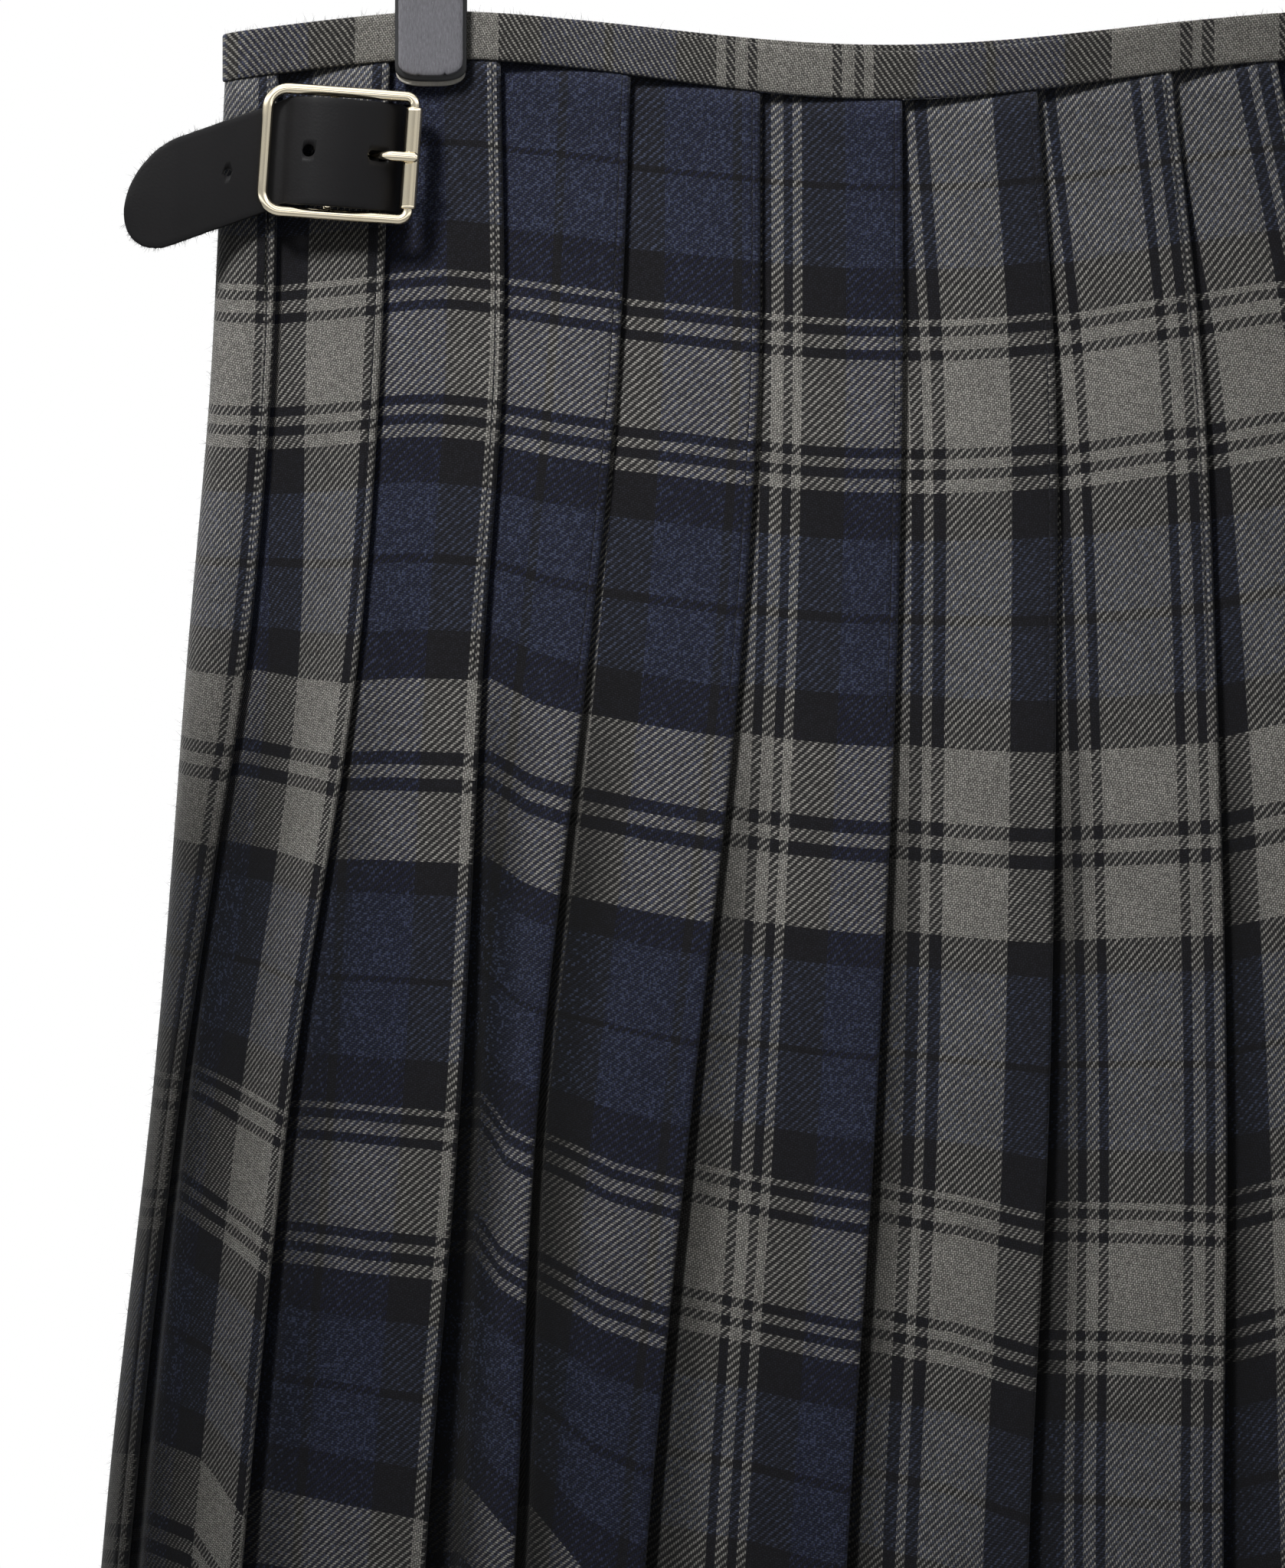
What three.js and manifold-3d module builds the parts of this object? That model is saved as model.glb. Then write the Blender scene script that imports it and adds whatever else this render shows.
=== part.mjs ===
// A pleated wrap skirt on a clip hanger: knife-pleated panel, two flat aprons, waistband, strap
// fastenings and the hanger that holds it. Millimetres, +Z up, the pleats face -Y, and the origin
// is the top of the hook's inside, where the rail touches it.
import * as THREE from "three";
import Module from "manifold-3d";
import { mergeVertices } from "three/addons/utils/BufferGeometryUtils.js";

const wasm = await Module();
wasm.setup();

// Cloth
const seamHeight = -118; // height of the waistband's lower edge at the clips
const waistHalfWidth = 180;
const skirtLength = 627; // below the waistband
const bandHeight = 13;
const bandOutside = 1.2; // how far the band stands out from the cloth's middle line
const bandInside = 1.8;
const clothWall = 1.1;
const seamGap = 0.3;
const creaseStep = 1.7; // distance between the layers in a pressed crease
const stitchDepth = 165; // the pleats are stitched down this far
const clipX = 124.4; // centre of each clip from the middle
const frontSag = 11.3; // how far the waistband hangs down between the clips
const farSag = 8.5;
const endDroop = 6; // how far it droops outside them
const sideRise = 0.03; // share by which the cloth's rows rise at the sides
const lapTop = 3.4; // distance between the two aprons at the waist and at the hem
const lapHem = 5;
const overEdge = 88; // free edges of the aprons, measured at the waist
const underEdge = -150;

// The shape of the flattened tube at six depths below the waistband: half width, length of the
// rounded end, half thickness at the ends and in the middle, reach of the swell as a share of the
// flat run, and how far the pleats have opened.
const levels = [
  { depth: 0, halfWidth: 180, cap: 8, endHalf: 5.6, midHalf: 12.5, reach: 0.72, opened: 0 },
  { depth: 80, halfWidth: 183.6, cap: 10, endHalf: 9.5, midHalf: 19, reach: 0.86, opened: 0 },
  { depth: 165, halfWidth: 191, cap: 12, endHalf: 12.5, midHalf: 25, reach: 0.95, opened: 0.05 },
  { depth: 280, halfWidth: 199.8, cap: 14, endHalf: 15.5, midHalf: 32, reach: 1, opened: 0.35 },
  { depth: 400, halfWidth: 212.6, cap: 16, endHalf: 18.5, midHalf: 38, reach: 1, opened: 0.7 },
  { depth: 627, halfWidth: 231, cap: 20, endHalf: 22, midHalf: 46, reach: 1, opened: 1 },
];

// The pleats' outer folds: distance of each fold from the middle at the six levels above, the width
// of the valley that opens beside it at the hem, the depth of its hidden tuck as a share of its
// face, and how far its layers spread as a share of the full spread.
const foldLevels = ["seam", "hip", "stitch", "mid", "low", "hem"];
const foldColumns = [...foldLevels, "valley", "tuck", "open"];
const folds = [
  [-166.3, -167.7, -174.8, -193.5, -206, -224, 6, 0.25, 0.4],
  [-136, -138.3, -144.4, -161.9, -174.4, -192, 7, 0.68, 1],
  [-106, -105.2, -110.6, -116.3, -125.4, -139, 14, 0.68, 1],
  [-70.6, -74, -82.5, -95.4, -101.5, -114, 5, 0.68, 1],
  [-35.4, -36, -41.7, -54.4, -66.5, -82, 5, 0.68, 1],
  [3.1, 3.1, 1, -4.6, -12.5, -22, 5, 0.68, 1],
  [39.8, 44.6, 44.6, 42.5, 36.7, 33, 5, 0.68, 1],
  [76.5, 84.4, 88.1, 90.6, 89.4, 92, 6, 0.68, 1],
  [105, 119, 126, 132, 135, 143, 8, 0.68, 1],
  [134, 150, 157, 168, 176, 190, 6, 0.68, 1],
  [160, 170, 177, 189, 202, 219, 4, 0.6, 0.6],
].map((row) => Object.fromEntries(foldColumns.map((name, i) => [name, row[i]])));
const rowDepths = [seamGap, 40, 80, 122, stitchDepth, 222, 280, 340, 400, 475, 550, skirtLength];
const valleyTop = 3; // width of the step beside a fold where the pleats are stitched down
const tuckEase = 0.5; // extra room at a tuck's inner crease
const openSpread = 5; // how far apart a pleat's layers stand at the hem

// Strap and buckle
const strapWidth = 29.5;
const strapWall = 2.2;
const strapTailDroop = 0.44; // slope of the strap's free tail
const droopStart = 13.5; // how far left of the buckle's middle the tail starts to droop
const buckleLength = 42.7;
const buckleHeight = 36.5;
const buckleCorner = 5.5;
const wireRadius = 1.5;
const barRadius = 1.3;
const rollerRadius = 2.3;
const rollerCorner = 2.5;
const prongRadius = 1;
const chapeWall = 1.4;
const slitWidth = 4.2;
const strapCentreDrop = 26.5; // centre of the buckle below the waistband
const nearBuckleX = -149.4;
const nearTilt = 0.07; // the near buckle's right end hangs a little lower
const farBuckleX = 125;

// Hanger
const hookInner = 17.2;
const hookWire = 1.8;
const barHeight = -72;
const railRadius = 2.5;
const railHalfLength = 150;
const bossRadius = 5;
const bossHeight = 14;
const jawBow = 0.5; // how far the jaws' lower edges bow down
const springFoot = -100;
const clipWidth = 17.7;
const clipPadWidth = 19.6;
const clipBottom = -123.2;
const clipLip = -125.5;
const clipTop = -81;
const clipInside = 7.2; // from the middle plane to each jaw's gripping face
const padWall = 1.4;
const jawWall = 2.1;
const springWidth = 12;
const springWall = 0.8;

const finishes = {
  wool: { color: 0x2a2e42, roughness: 0.95, metalness: 0 },
  bandWool: { color: 0x6f6e6c, roughness: 0.95, metalness: 0 },
  leather: { color: 0x1f1e1f, roughness: 0.5, metalness: 0 },
  paleBrass: { color: 0xc9bea8, roughness: 0.25, metalness: 1 },
  steel: { color: 0xb8b9bc, roughness: 0.3, metalness: 1 },
  greyPlastic: { color: 0x6f6e73, roughness: 0.6, metalness: 0 },
  blackPlastic: { color: 0x161618, roughness: 0.6, metalness: 0 },
};
const material = Object.fromEntries(
  Object.entries(finishes).map(([name, finish]) => [name, new THREE.MeshStandardMaterial(finish)]),
);

const skirt = new THREE.Group();

function addPiece(name, geometry, finish, parent = skirt) {
  const mesh = new THREE.Mesh(geometry, finish);
  mesh.name = name;
  parent.add(mesh);
  return mesh;
}

// ---- General shapes ----

// A closed solid from indexed triangles, turned outwards if its volume comes out negative.
function closedSolid(points, triangles) {
  let volume = 0;
  for (let i = 0; i < triangles.length; i += 3) {
    const [a, b, c] = [points[triangles[i]], points[triangles[i + 1]], points[triangles[i + 2]]];
    volume += a.dot(new THREE.Vector3().crossVectors(b, c)) / 6;
  }
  const geometry = new THREE.BufferGeometry().setFromPoints(points);
  geometry.setIndex(volume < 0 ? triangles.reverse() : triangles);
  return geometry;
}

// Joins equal loops of points into a skin. The two ends are closed with a fan, or, where each loop
// runs along one side of a wall and back along the other, with a strip across the wall.
function loft(loops, { ring = false, wall = false } = {}) {
  const count = loops[0].length;
  const triangles = [];
  const spans = ring ? loops.length : loops.length - 1;
  for (let row = 0; row < spans; row++) {
    const here = row * count;
    const next = ((row + 1) % loops.length) * count;
    for (let i = 0; i < count; i++) {
      const j = (i + 1) % count;
      triangles.push(here + i, here + j, next + j, here + i, next + j, next + i);
    }
  }
  const closeEnd = (start, corners) => {
    if (!wall) {
      for (let i = 1; i < count - 1; i++) triangles.push(...corners(start, start + i, start + i + 1));
      return;
    }
    for (let i = 0; i < count / 2 - 1; i++) {
      const [a, b, c, d] = [i, i + 1, count - 2 - i, count - 1 - i].map((k) => start + k);
      triangles.push(...corners(a, b, c), ...corners(a, c, d));
    }
  };
  if (!ring) {
    closeEnd(0, (a, b, c) => [a, c, b]);
    closeEnd((loops.length - 1) * count, (a, b, c) => [a, b, c]);
  }
  return closedSolid(loops.flat(), triangles);
}

// A round wire along a list of points. Its sections stay square to the path.
function wireAlong(path, radius, { ring = false, sides = 8 } = {}) {
  const normal = new THREE.Vector3();
  const loops = path.map((point, i) => {
    const before = path[ring ? (i + path.length - 1) % path.length : Math.max(i - 1, 0)];
    const after = path[ring ? (i + 1) % path.length : Math.min(i + 1, path.length - 1)];
    const along = after.clone().sub(before).normalize();
    if (i === 0) normal.set(Math.abs(along.y) > 0.9 ? 1 : 0, Math.abs(along.y) > 0.9 ? 0 : 1, 0);
    normal.addScaledVector(along, -normal.dot(along)).normalize();
    const across = along.clone().cross(normal);
    return Array.from({ length: sides }, (_, k) => {
      const angle = (2 * Math.PI * (k + 0.5)) / sides;
      return point
        .clone()
        .addScaledVector(normal, radius * Math.cos(angle))
        .addScaledVector(across, radius * Math.sin(angle));
    });
  });
  return loft(loops, { ring });
}

// An upright box with its centre at x, y, z.
function block(width, depth, height, x, y, z) {
  return new THREE.BoxGeometry(width, depth, height).translate(x, y, z);
}

function toSolid(geometry) {
  const bare = geometry.clone().deleteAttribute("normal").deleteAttribute("uv");
  const merged = mergeVertices(bare, 1e-4);
  return new wasm.Manifold(
    new wasm.Mesh({
      numProp: 3,
      vertProperties: merged.attributes.position.array,
      triVerts: new Uint32Array(merged.index.array),
    }),
  );
}

function toGeometry(solid) {
  const mesh = solid.getMesh();
  const geometry = new THREE.BufferGeometry();
  geometry.setAttribute("position", new THREE.BufferAttribute(mesh.vertProperties, 3));
  return geometry.setIndex(new THREE.BufferAttribute(mesh.triVerts, 1));
}

function cut(geometry, tools) {
  return toGeometry(tools.reduce((solid, tool) => solid.subtract(toSolid(tool)), toSolid(geometry)));
}

function join(geometry, others) {
  return toGeometry(others.reduce((solid, other) => solid.add(toSolid(other)), toSolid(geometry)));
}

// ---- The flattened tube that every cloth piece follows ----

const levelDepths = levels.map((level) => level.depth);

// A smooth curve through values given at the six levels, by cubic pieces with averaged slopes.
function throughLevels(values, depth) {
  const last = levelDepths.length - 1;
  const at = Math.min(Math.max(depth, 0), levelDepths[last]);
  const i = Math.min(levelDepths.findLastIndex((d) => d <= at), last - 1);
  const slopeOver = (k) => (values[k + 1] - values[k]) / (levelDepths[k + 1] - levelDepths[k]);
  const slopeAt = (k) =>
    k === 0 ? slopeOver(0) : k === last ? slopeOver(last - 1) : (slopeOver(k - 1) + slopeOver(k)) / 2;
  const span = levelDepths[i + 1] - levelDepths[i];
  const t = (at - levelDepths[i]) / span;
  return (
    values[i] * (1 + 2 * t) * (1 - t) ** 2 +
    values[i + 1] * t * t * (3 - 2 * t) +
    slopeAt(i) * span * t * (1 - t) ** 2 -
    slopeAt(i + 1) * span * t * t * (1 - t)
  );
}

const levelValue = (name, depth) => throughLevels(levels.map((level) => level[name]), depth);
const foldPlace = (fold, depth) => throughLevels(foldLevels.map((name) => fold[name]), depth);
const smooth = (t) => THREE.MathUtils.smoothstep(t, 0, 1);

function halfThickness(x, depth) {
  const flatRun = levelValue("halfWidth", depth) - levelValue("cap", depth);
  const share = Math.min(1, Math.abs(x) / (flatRun * levelValue("reach", depth)));
  const end = levelValue("endHalf", depth);
  return end + (levelValue("midHalf", depth) - end) * Math.cos((Math.PI / 2) * share) ** 2;
}

// Height of the cloth at a place: the waistband's sag, and rows that rise towards the sides.
function heightAt(x, y, depth) {
  const share = x / levelValue("halfWidth", Math.max(depth, 0));
  const waistX = Math.abs(share) * waistHalfWidth;
  const sag = y < 0 ? frontSag : farSag;
  const drop =
    waistX < clipX
      ? sag * Math.cos((Math.PI / 2) * (waistX / clipX)) ** 2
      : endDroop * ((waistX - clipX) / (waistHalfWidth - clipX)) ** 1.3;
  return seamHeight - drop - depth * (1 - sideRise * share * share);
}

// The tube's outline at one depth, walked from the middle of the pleated side: to the right over
// the rounded end and along the far side to its left end. A negative distance walks the mirror way.
function outlineAt(depth) {
  const shapeDepth = Math.max(depth, 0);
  const cap = levelValue("cap", shapeDepth);
  const flatRun = levelValue("halfWidth", shapeDepth) - cap;
  const endHalf = levelValue("endHalf", shapeDepth);
  const steps = 24;
  const points = [];
  for (let i = 0; i <= steps; i++) {
    const x = (flatRun * i) / steps;
    points.push([x, -halfThickness(x, shapeDepth)]);
  }
  for (let i = 1; i <= steps; i++) {
    const angle = Math.PI * (i / steps - 0.5);
    points.push([flatRun + cap * Math.cos(angle), endHalf * Math.sin(angle)]);
  }
  for (let i = 1; i <= 2 * steps; i++) {
    const x = flatRun * (1 - i / steps);
    points.push([x, halfThickness(x, shapeDepth)]);
  }
  const lengths = [0];
  points.forEach(([x, y], i) => {
    if (i) lengths.push(lengths[i - 1] + Math.hypot(x - points[i - 1][0], y - points[i - 1][1]));
  });
  const walk = (distance) => {
    const i = Math.max(1, lengths.findIndex((length) => length >= distance));
    const t = (distance - lengths[i - 1]) / (lengths[i] - lengths[i - 1]);
    return [0, 1].map((k) => points[i - 1][k] + t * (points[i][k] - points[i - 1][k]));
  };
  const place = (distance) => {
    const [x, y] = walk(Math.abs(distance));
    return [Math.sign(distance) * x, y];
  };
  // A point at a distance along the outline and a distance inwards from it.
  const point = (distance, inwards) => {
    const [x, y] = place(distance);
    const [ax, ay] = place(distance - 0.5);
    const [bx, by] = place(distance + 0.5);
    const length = Math.hypot(bx - ax, by - ay);
    return [x - ((by - ay) / length) * inwards, y + ((bx - ax) / length) * inwards];
  };
  // The distance at which the walk in one direction passes x, on the near side or on the far side.
  const distanceAt = (x, { far = false, direction = x < 0 ? -1 : 1 } = {}) => {
    const goal = x * direction;
    const from = far ? 2 * steps : 0;
    const to = far ? points.length - 1 : steps + steps / 2;
    const crosses = (i) => (points[i - 1][0] - goal) * (points[i][0] - goal) <= 0;
    let i = from + 1;
    while (i < to && !crosses(i)) i++;
    const t = (goal - points[i - 1][0]) / (points[i][0] - points[i - 1][0]);
    return direction * (lengths[i - 1] + THREE.MathUtils.clamp(t, 0, 1) * (lengths[i] - lengths[i - 1]));
  };
  return { depth, point, distanceAt, endDistance: lengths[2 * steps], capMiddle: lengths[1.5 * steps] };
}

// A wall on both sides of a middle line of [distance along the outline, distance inwards], as one
// loop: along its outside and back along its inside. Its heights are those of the given depth.
function wallLoop(outline, line, sides = {}) {
  const { outside = clothWall / 2, inside = clothWall / 2, depth = outline.depth } = sides;
  const middle = line.map(([distance, inwards]) => new THREE.Vector2(...outline.point(distance, inwards)));
  const heading = middle.slice(1).map((point, i) => point.clone().sub(middle[i]).normalize());
  const offset = (amount) =>
    middle.map((point, i) => {
      const before = heading[Math.max(i - 1, 0)];
      const after = heading[Math.min(i, heading.length - 1)];
      const along = before.clone().add(after).normalize();
      const mitre = Math.max(along.dot(after), 0.5);
      const x = point.x + (along.y * amount) / mitre;
      const y = point.y - (along.x * amount) / mitre;
      return new THREE.Vector3(x, y, heightAt(x, y, depth));
    });
  return [...offset(outside), ...offset(-inside).reverse()];
}

const outlines = rowDepths.map(outlineAt);

// Evenly spaced distances, both ends included.
function spaced(from, to, count) {
  return Array.from({ length: count }, (_, i) => from + ((to - from) * i) / (count - 1));
}

// ---- Cloth ----

const panelOverlap = 3; // how far the pleated panel reaches past the rounded ends
const crease = creaseStep / 2;
const creaseAngles = [-90, -30, 30, 90].map(THREE.MathUtils.degToRad);

// The pleated panel's middle line at one depth. Each pleat's face comes forward from the valley
// beside the last fold, turns back at its own fold, and turns forward again at its hidden crease.
function pleatLine(outline) {
  const opened = levelValue("opened", outline.depth);
  const end = outline.endDistance - panelOverlap;
  const places = folds.map((fold) => outline.distanceAt(foldPlace(fold, outline.depth)));
  const line = spaced(-end, places[0] - creaseStep, 11).map((distance) => [distance, 0]);
  let faceStart = -outline.capMiddle;
  let startInwards = 0;
  folds.forEach((fold, i) => {
    const place = places[i];
    const spread = openSpread * opened * fold.open;
    const valley = valleyTop + (fold.valley - valleyTop) * opened;
    const before = places[i - 1] ?? -outline.capMiddle;
    const tuck = Math.min(fold.tuck * (place - before), place - faceStart - 1.5);
    const inner = place - tuck;
    const back = startInwards * (tuck / (place - faceStart)) + creaseStep + spread + tuckEase;
    if (i) line.push([(faceStart + place) / 2, startInwards / 2 - 0.4]);
    creaseAngles.forEach((angle) =>
      line.push([place - crease + crease * Math.cos(angle), crease + crease * Math.sin(angle)]),
    );
    creaseAngles.forEach((angle) =>
      line.push([inner + crease - crease * Math.cos(angle), back + crease + crease * Math.sin(angle)]),
    );
    faceStart = place + valley;
    startInwards = 1.7 * creaseStep + 0.4 * spread;
    line.push([place + 0.35 * valley, 2 * creaseStep + spread + 0.5 * (valley - valleyTop)]);
    line.push([faceStart, startInwards]);
  });
  spaced(0, 1, 8).slice(1).forEach((t) =>
    line.push([faceStart + (end - faceStart) * t, startInwards * Math.max(0, 1 - 3 * t)]),
  );
  return line;
}

// How far inside the outline the under layer lies: behind the over apron, and level with it beyond
// that apron's free edge.
function lapInwards(x, depth) {
  const waistX = (x * waistHalfWidth) / levelValue("halfWidth", depth);
  const lap = lapTop + ((lapHem - lapTop) * depth) / skirtLength;
  return lap * smooth((overEdge + 14 - waistX) / 11);
}

const edgeAt = (waistX, depth) => (waistX * levelValue("halfWidth", depth)) / waistHalfWidth;

function overLine(outline, from) {
  const edge = outline.distanceAt(edgeAt(overEdge, outline.depth), { far: true, direction: -1 });
  return spaced(edge, from, 18).map((distance) => [distance, 0]);
}

function underLine(outline, from) {
  const edge = outline.distanceAt(edgeAt(underEdge, outline.depth), { far: true, direction: 1 });
  return spaced(from, edge, 26).map((distance) => {
    const [x] = outline.point(distance, 0);
    return [distance, lapInwards(x, outline.depth)];
  });
}

const seamDistance = (outline) => outline.endDistance - panelOverlap + seamGap;

const overApron = loft(outlines.map((o) => wallLoop(o, overLine(o, -seamDistance(o)))), { wall: true });
const underApron = loft(outlines.map((o) => wallLoop(o, underLine(o, seamDistance(o)))), { wall: true });
const pleatedPanel = loft(outlines.map((o) => wallLoop(o, pleatLine(o))), { wall: true });

// The waistband: one strip from the over apron's edge, round the pleats, to the under apron's edge.
function waistband() {
  const outline = outlineAt(0);
  const end = outline.endDistance;
  const flatRun = outline.distanceAt(levels[0].halfWidth - levels[0].cap);
  const line = [
    ...overLine(outline, -end),
    ...spaced(-end, -flatRun, 9).slice(1, -1).map((distance) => [distance, 0]),
    ...spaced(-flatRun, flatRun, 27).map((distance) => [distance, 0]),
    ...spaced(flatRun, end, 9).slice(1, -1).map((distance) => [distance, 0]),
    ...underLine(outline, end),
  ];
  const sides = { outside: bandOutside, inside: bandInside };
  return loft([0, -bandHeight].map((depth) => wallLoop(outline, line, { ...sides, depth })), { wall: true });
}

// ---- Strap fastenings, laid out along x with z up and -y away from the cloth ----

const framePlane = 7; // height of the buckle's wire above the cloth
const centreBar = { along: -2, off: 4.8 };
const strapOverBuckle = [
  { along: 16, off: 1.2 },
  { along: 14.8, off: 3.6 },
  { along: 12, off: 5.9 },
  { along: 8, off: 7.8 },
  { along: 3, off: 9.3 },
  { along: -2, off: 9.7 },
  { along: -7, off: 9 },
  { along: -11.5, off: 6.7 },
  { along: -15, off: 4.4 },
  { along: -20, off: 3.7 },
  { along: -26, off: 4.1 },
  { along: -34, off: 4.8 },
  { along: -43.4, off: 5.2 },
];
const rootThroughSlit = [
  { along: 20, off: -6.4 },
  { along: 18.2, off: -6.2 },
  { along: 17, off: -5 },
  { along: 16.5, off: -2 },
];
const rootOnApron = [
  { along: 46, off: 1.4 },
  { along: 36, off: 1.4 },
  { along: 24, off: 1.4 },
  { along: 19, off: 1.8 },
];
const tipAlongs = [-48, -51.5, -54.2, -56, -56.6];
const tipLength = 13.5;
const strapHoles = [
  { along: -7.9, radius: 1.7 },
  { along: -29.6, radius: 1.1 },
];

// How far the strap's tail droops and how wide it is at a place along it.
const tailDroop = (along) => -strapTailDroop * Math.max(0, -droopStart - along);

function strapHalfWidth(along) {
  const overTip = Math.max(0, -43.4 - along) / tipLength;
  return (strapWidth / 2) * Math.sqrt(1 - overTip * overTip);
}

function strapPiece(root) {
  const lastOff = strapOverBuckle.at(-1).off;
  const path = [...root, ...strapOverBuckle, ...tipAlongs.map((along) => ({ along, off: lastOff }))];
  const loops = path.map(({ along, off }, i) => {
    const before = path[Math.max(i - 1, 0)];
    const after = path[Math.min(i + 1, path.length - 1)];
    const heading = new THREE.Vector2(after.along - before.along, after.off - before.off).normalize();
    const half = strapWall / 2;
    const [across, out] = [-heading.y * half, heading.x * half];
    const halfWidth = strapHalfWidth(along);
    const droop = tailDroop(along);
    return [
      new THREE.Vector3(along + across, -(off + out), droop - halfWidth),
      new THREE.Vector3(along + across, -(off + out), droop + halfWidth),
      new THREE.Vector3(along - across, -(off - out), droop + halfWidth),
      new THREE.Vector3(along - across, -(off - out), droop - halfWidth),
    ];
  });
  const holes = strapHoles.map(({ along, radius }) =>
    new THREE.CylinderGeometry(radius, radius, 12, 10).translate(along, -6, tailDroop(along)),
  );
  return cut(loft(loops), [...holes, block(9.2, 12, 3.4, 8.2, -8, 0)]);
}

// A leather tab: both ends lie on the cloth and its middle wraps the buckle's centre bar.
function chapePiece() {
  const round = barRadius + seamGap + chapeWall / 2;
  const wrap = spaced(-50, -310, 9).map((degrees) => {
    const angle = THREE.MathUtils.degToRad(degrees);
    return new THREE.Vector2(
      centreBar.along + round * Math.cos(angle),
      centreBar.off + round * Math.sin(angle),
    );
  });
  const lower = [new THREE.Vector2(11, 1), new THREE.Vector2(2.6, 1)];
  const upper = [new THREE.Vector2(3.4, 3.1), new THREE.Vector2(11, 2.75)];
  const path = [...lower, ...wrap, ...upper];
  const halfWidth = strapWidth / 2 - 2;
  const loops = path.map((point, i) => {
    const before = path[Math.max(i - 1, 0)];
    const after = path[Math.min(i + 1, path.length - 1)];
    const heading = after.clone().sub(before).normalize();
    const across = new THREE.Vector2(-heading.y, heading.x).multiplyScalar(chapeWall / 2);
    const corner = (side, z) =>
      new THREE.Vector3(point.x + side * across.x, -(point.y + side * across.y), z);
    return [corner(1, -halfWidth), corner(1, halfWidth), corner(-1, halfWidth), corner(-1, -halfWidth)];
  });
  return cut(loft(loops), [block(11, 12, 4.4, -1, -5.5, 0)]);
}

// The buckle's wire frame, a rounded rectangle, joined to its centre bar.
function framePiece() {
  const halfLength = buckleLength / 2 - wireRadius;
  const halfHeight = buckleHeight / 2 - wireRadius;
  const corners = [
    { x: 1, z: 1, radius: rollerCorner, start: 0 },
    { x: -1, z: 1, radius: buckleCorner, start: 90 },
    { x: -1, z: -1, radius: buckleCorner, start: 180 },
    { x: 1, z: -1, radius: rollerCorner, start: 270 },
  ];
  const path = corners.flatMap(({ x, z, radius, start }) =>
    spaced(start, start + 90, 5).map((degrees) => {
      const angle = THREE.MathUtils.degToRad(degrees);
      return new THREE.Vector3(
        x * (halfLength - radius) + radius * Math.cos(angle),
        -framePlane,
        z * (halfHeight - radius) + radius * Math.sin(angle),
      );
    }),
  );
  const bar = new THREE.CylinderGeometry(barRadius, barRadius, 2 * halfHeight, 8)
    .rotateX(Math.PI / 2)
    .translate(centreBar.along, -centreBar.off, 0);
  return join(wireAlong(path, wireRadius, { ring: true }), [bar]);
}

function rollerPiece() {
  const halfLength = buckleHeight / 2 - wireRadius - rollerCorner - 0.4;
  const inner = wireRadius + seamGap;
  const profile = [
    [inner, -halfLength],
    [rollerRadius, -halfLength],
    [rollerRadius, halfLength],
    [inner, halfLength],
    [inner, -halfLength],
  ].map(([x, y]) => new THREE.Vector2(x, y));
  return new THREE.LatheGeometry(profile, 14)
    .rotateX(Math.PI / 2)
    .translate(buckleLength / 2 - wireRadius, -framePlane, 0);
}

// The prong: an eye round the centre bar, up through the strap's slot and across the roller.
function prongPiece() {
  const round = barRadius + seamGap + prongRadius;
  const eye = spaced(-30, -270, 9).map((degrees) => {
    const angle = THREE.MathUtils.degToRad(degrees);
    return [centreBar.along + round * Math.cos(angle), centreBar.off + round * Math.sin(angle)];
  });
  const overRoller = framePlane + rollerRadius + seamGap + prongRadius;
  const shank = [
    [1, 7.2],
    [4, 7],
    [6.5, 7.5],
    [9.5, 9],
    [13, overRoller - 0.2],
    [16, overRoller],
    [21.6, overRoller],
  ];
  const path = [...eye, ...shank].map(([x, off]) => new THREE.Vector3(x, -off, 0));
  return wireAlong(path, prongRadius, { sides: 6 });
}

function addFastening(side, root) {
  const group = new THREE.Group();
  addPiece(side + "_strap", strapPiece(root), material.leather, group);
  addPiece(side + "_chape", chapePiece(), material.leather, group);
  addPiece(side + "_buckle_frame", framePiece(), material.paleBrass, group);
  addPiece(side + "_buckle_roller", rollerPiece(), material.paleBrass, group);
  addPiece(side + "_buckle_prong", prongPiece(), material.paleBrass, group);
  skirt.add(group);
  return group;
}

// The plane that a fastening lies on touches the cloth behind the strap's two edges.
const strapGround = (x, edge = 0) =>
  halfThickness(x, strapCentreDrop + (edge * strapWidth) / 2) + clothWall / 2 + seamGap;
const lean = Math.atan2(strapGround(nearBuckleX, 1) - strapGround(nearBuckleX, -1), strapWidth);
const fasteningHeight = seamHeight - strapCentreDrop;

const nearFastening = addFastening("near", rootThroughSlit);
nearFastening.position.set(nearBuckleX, -strapGround(nearBuckleX), fasteningHeight);
nearFastening.rotation.set(-lean, nearTilt, 0);

const farFastening = addFastening("far", rootOnApron);
const rootX = farBuckleX - rootOnApron[0].along;
const tailX = farBuckleX + buckleLength / 2;
const fall = (strapGround(rootX, 1) - strapGround(tailX, 1)) / (tailX - rootX);
const farGround = strapGround(tailX) + fall * (tailX - farBuckleX) + seamGap;
farFastening.position.set(farBuckleX, farGround, fasteningHeight);
farFastening.rotation.set(lean, 0, Math.PI - Math.atan(fall));

// The slit lets the near strap through the panel, so it is cut where the strap goes.
nearFastening.updateMatrix();
const slit = block(slitWidth, 14, strapWidth + 1.6, 16.6, 1.5, 0).applyMatrix4(nearFastening.matrix);
addPiece("pleated_panel", cut(pleatedPanel, [slit]), material.wool);
addPiece("over_apron", overApron, material.wool);
addPiece("under_apron", underApron, material.wool);
addPiece("waistband", waistband(), material.bandWool);

// ---- Hanger ----

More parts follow.
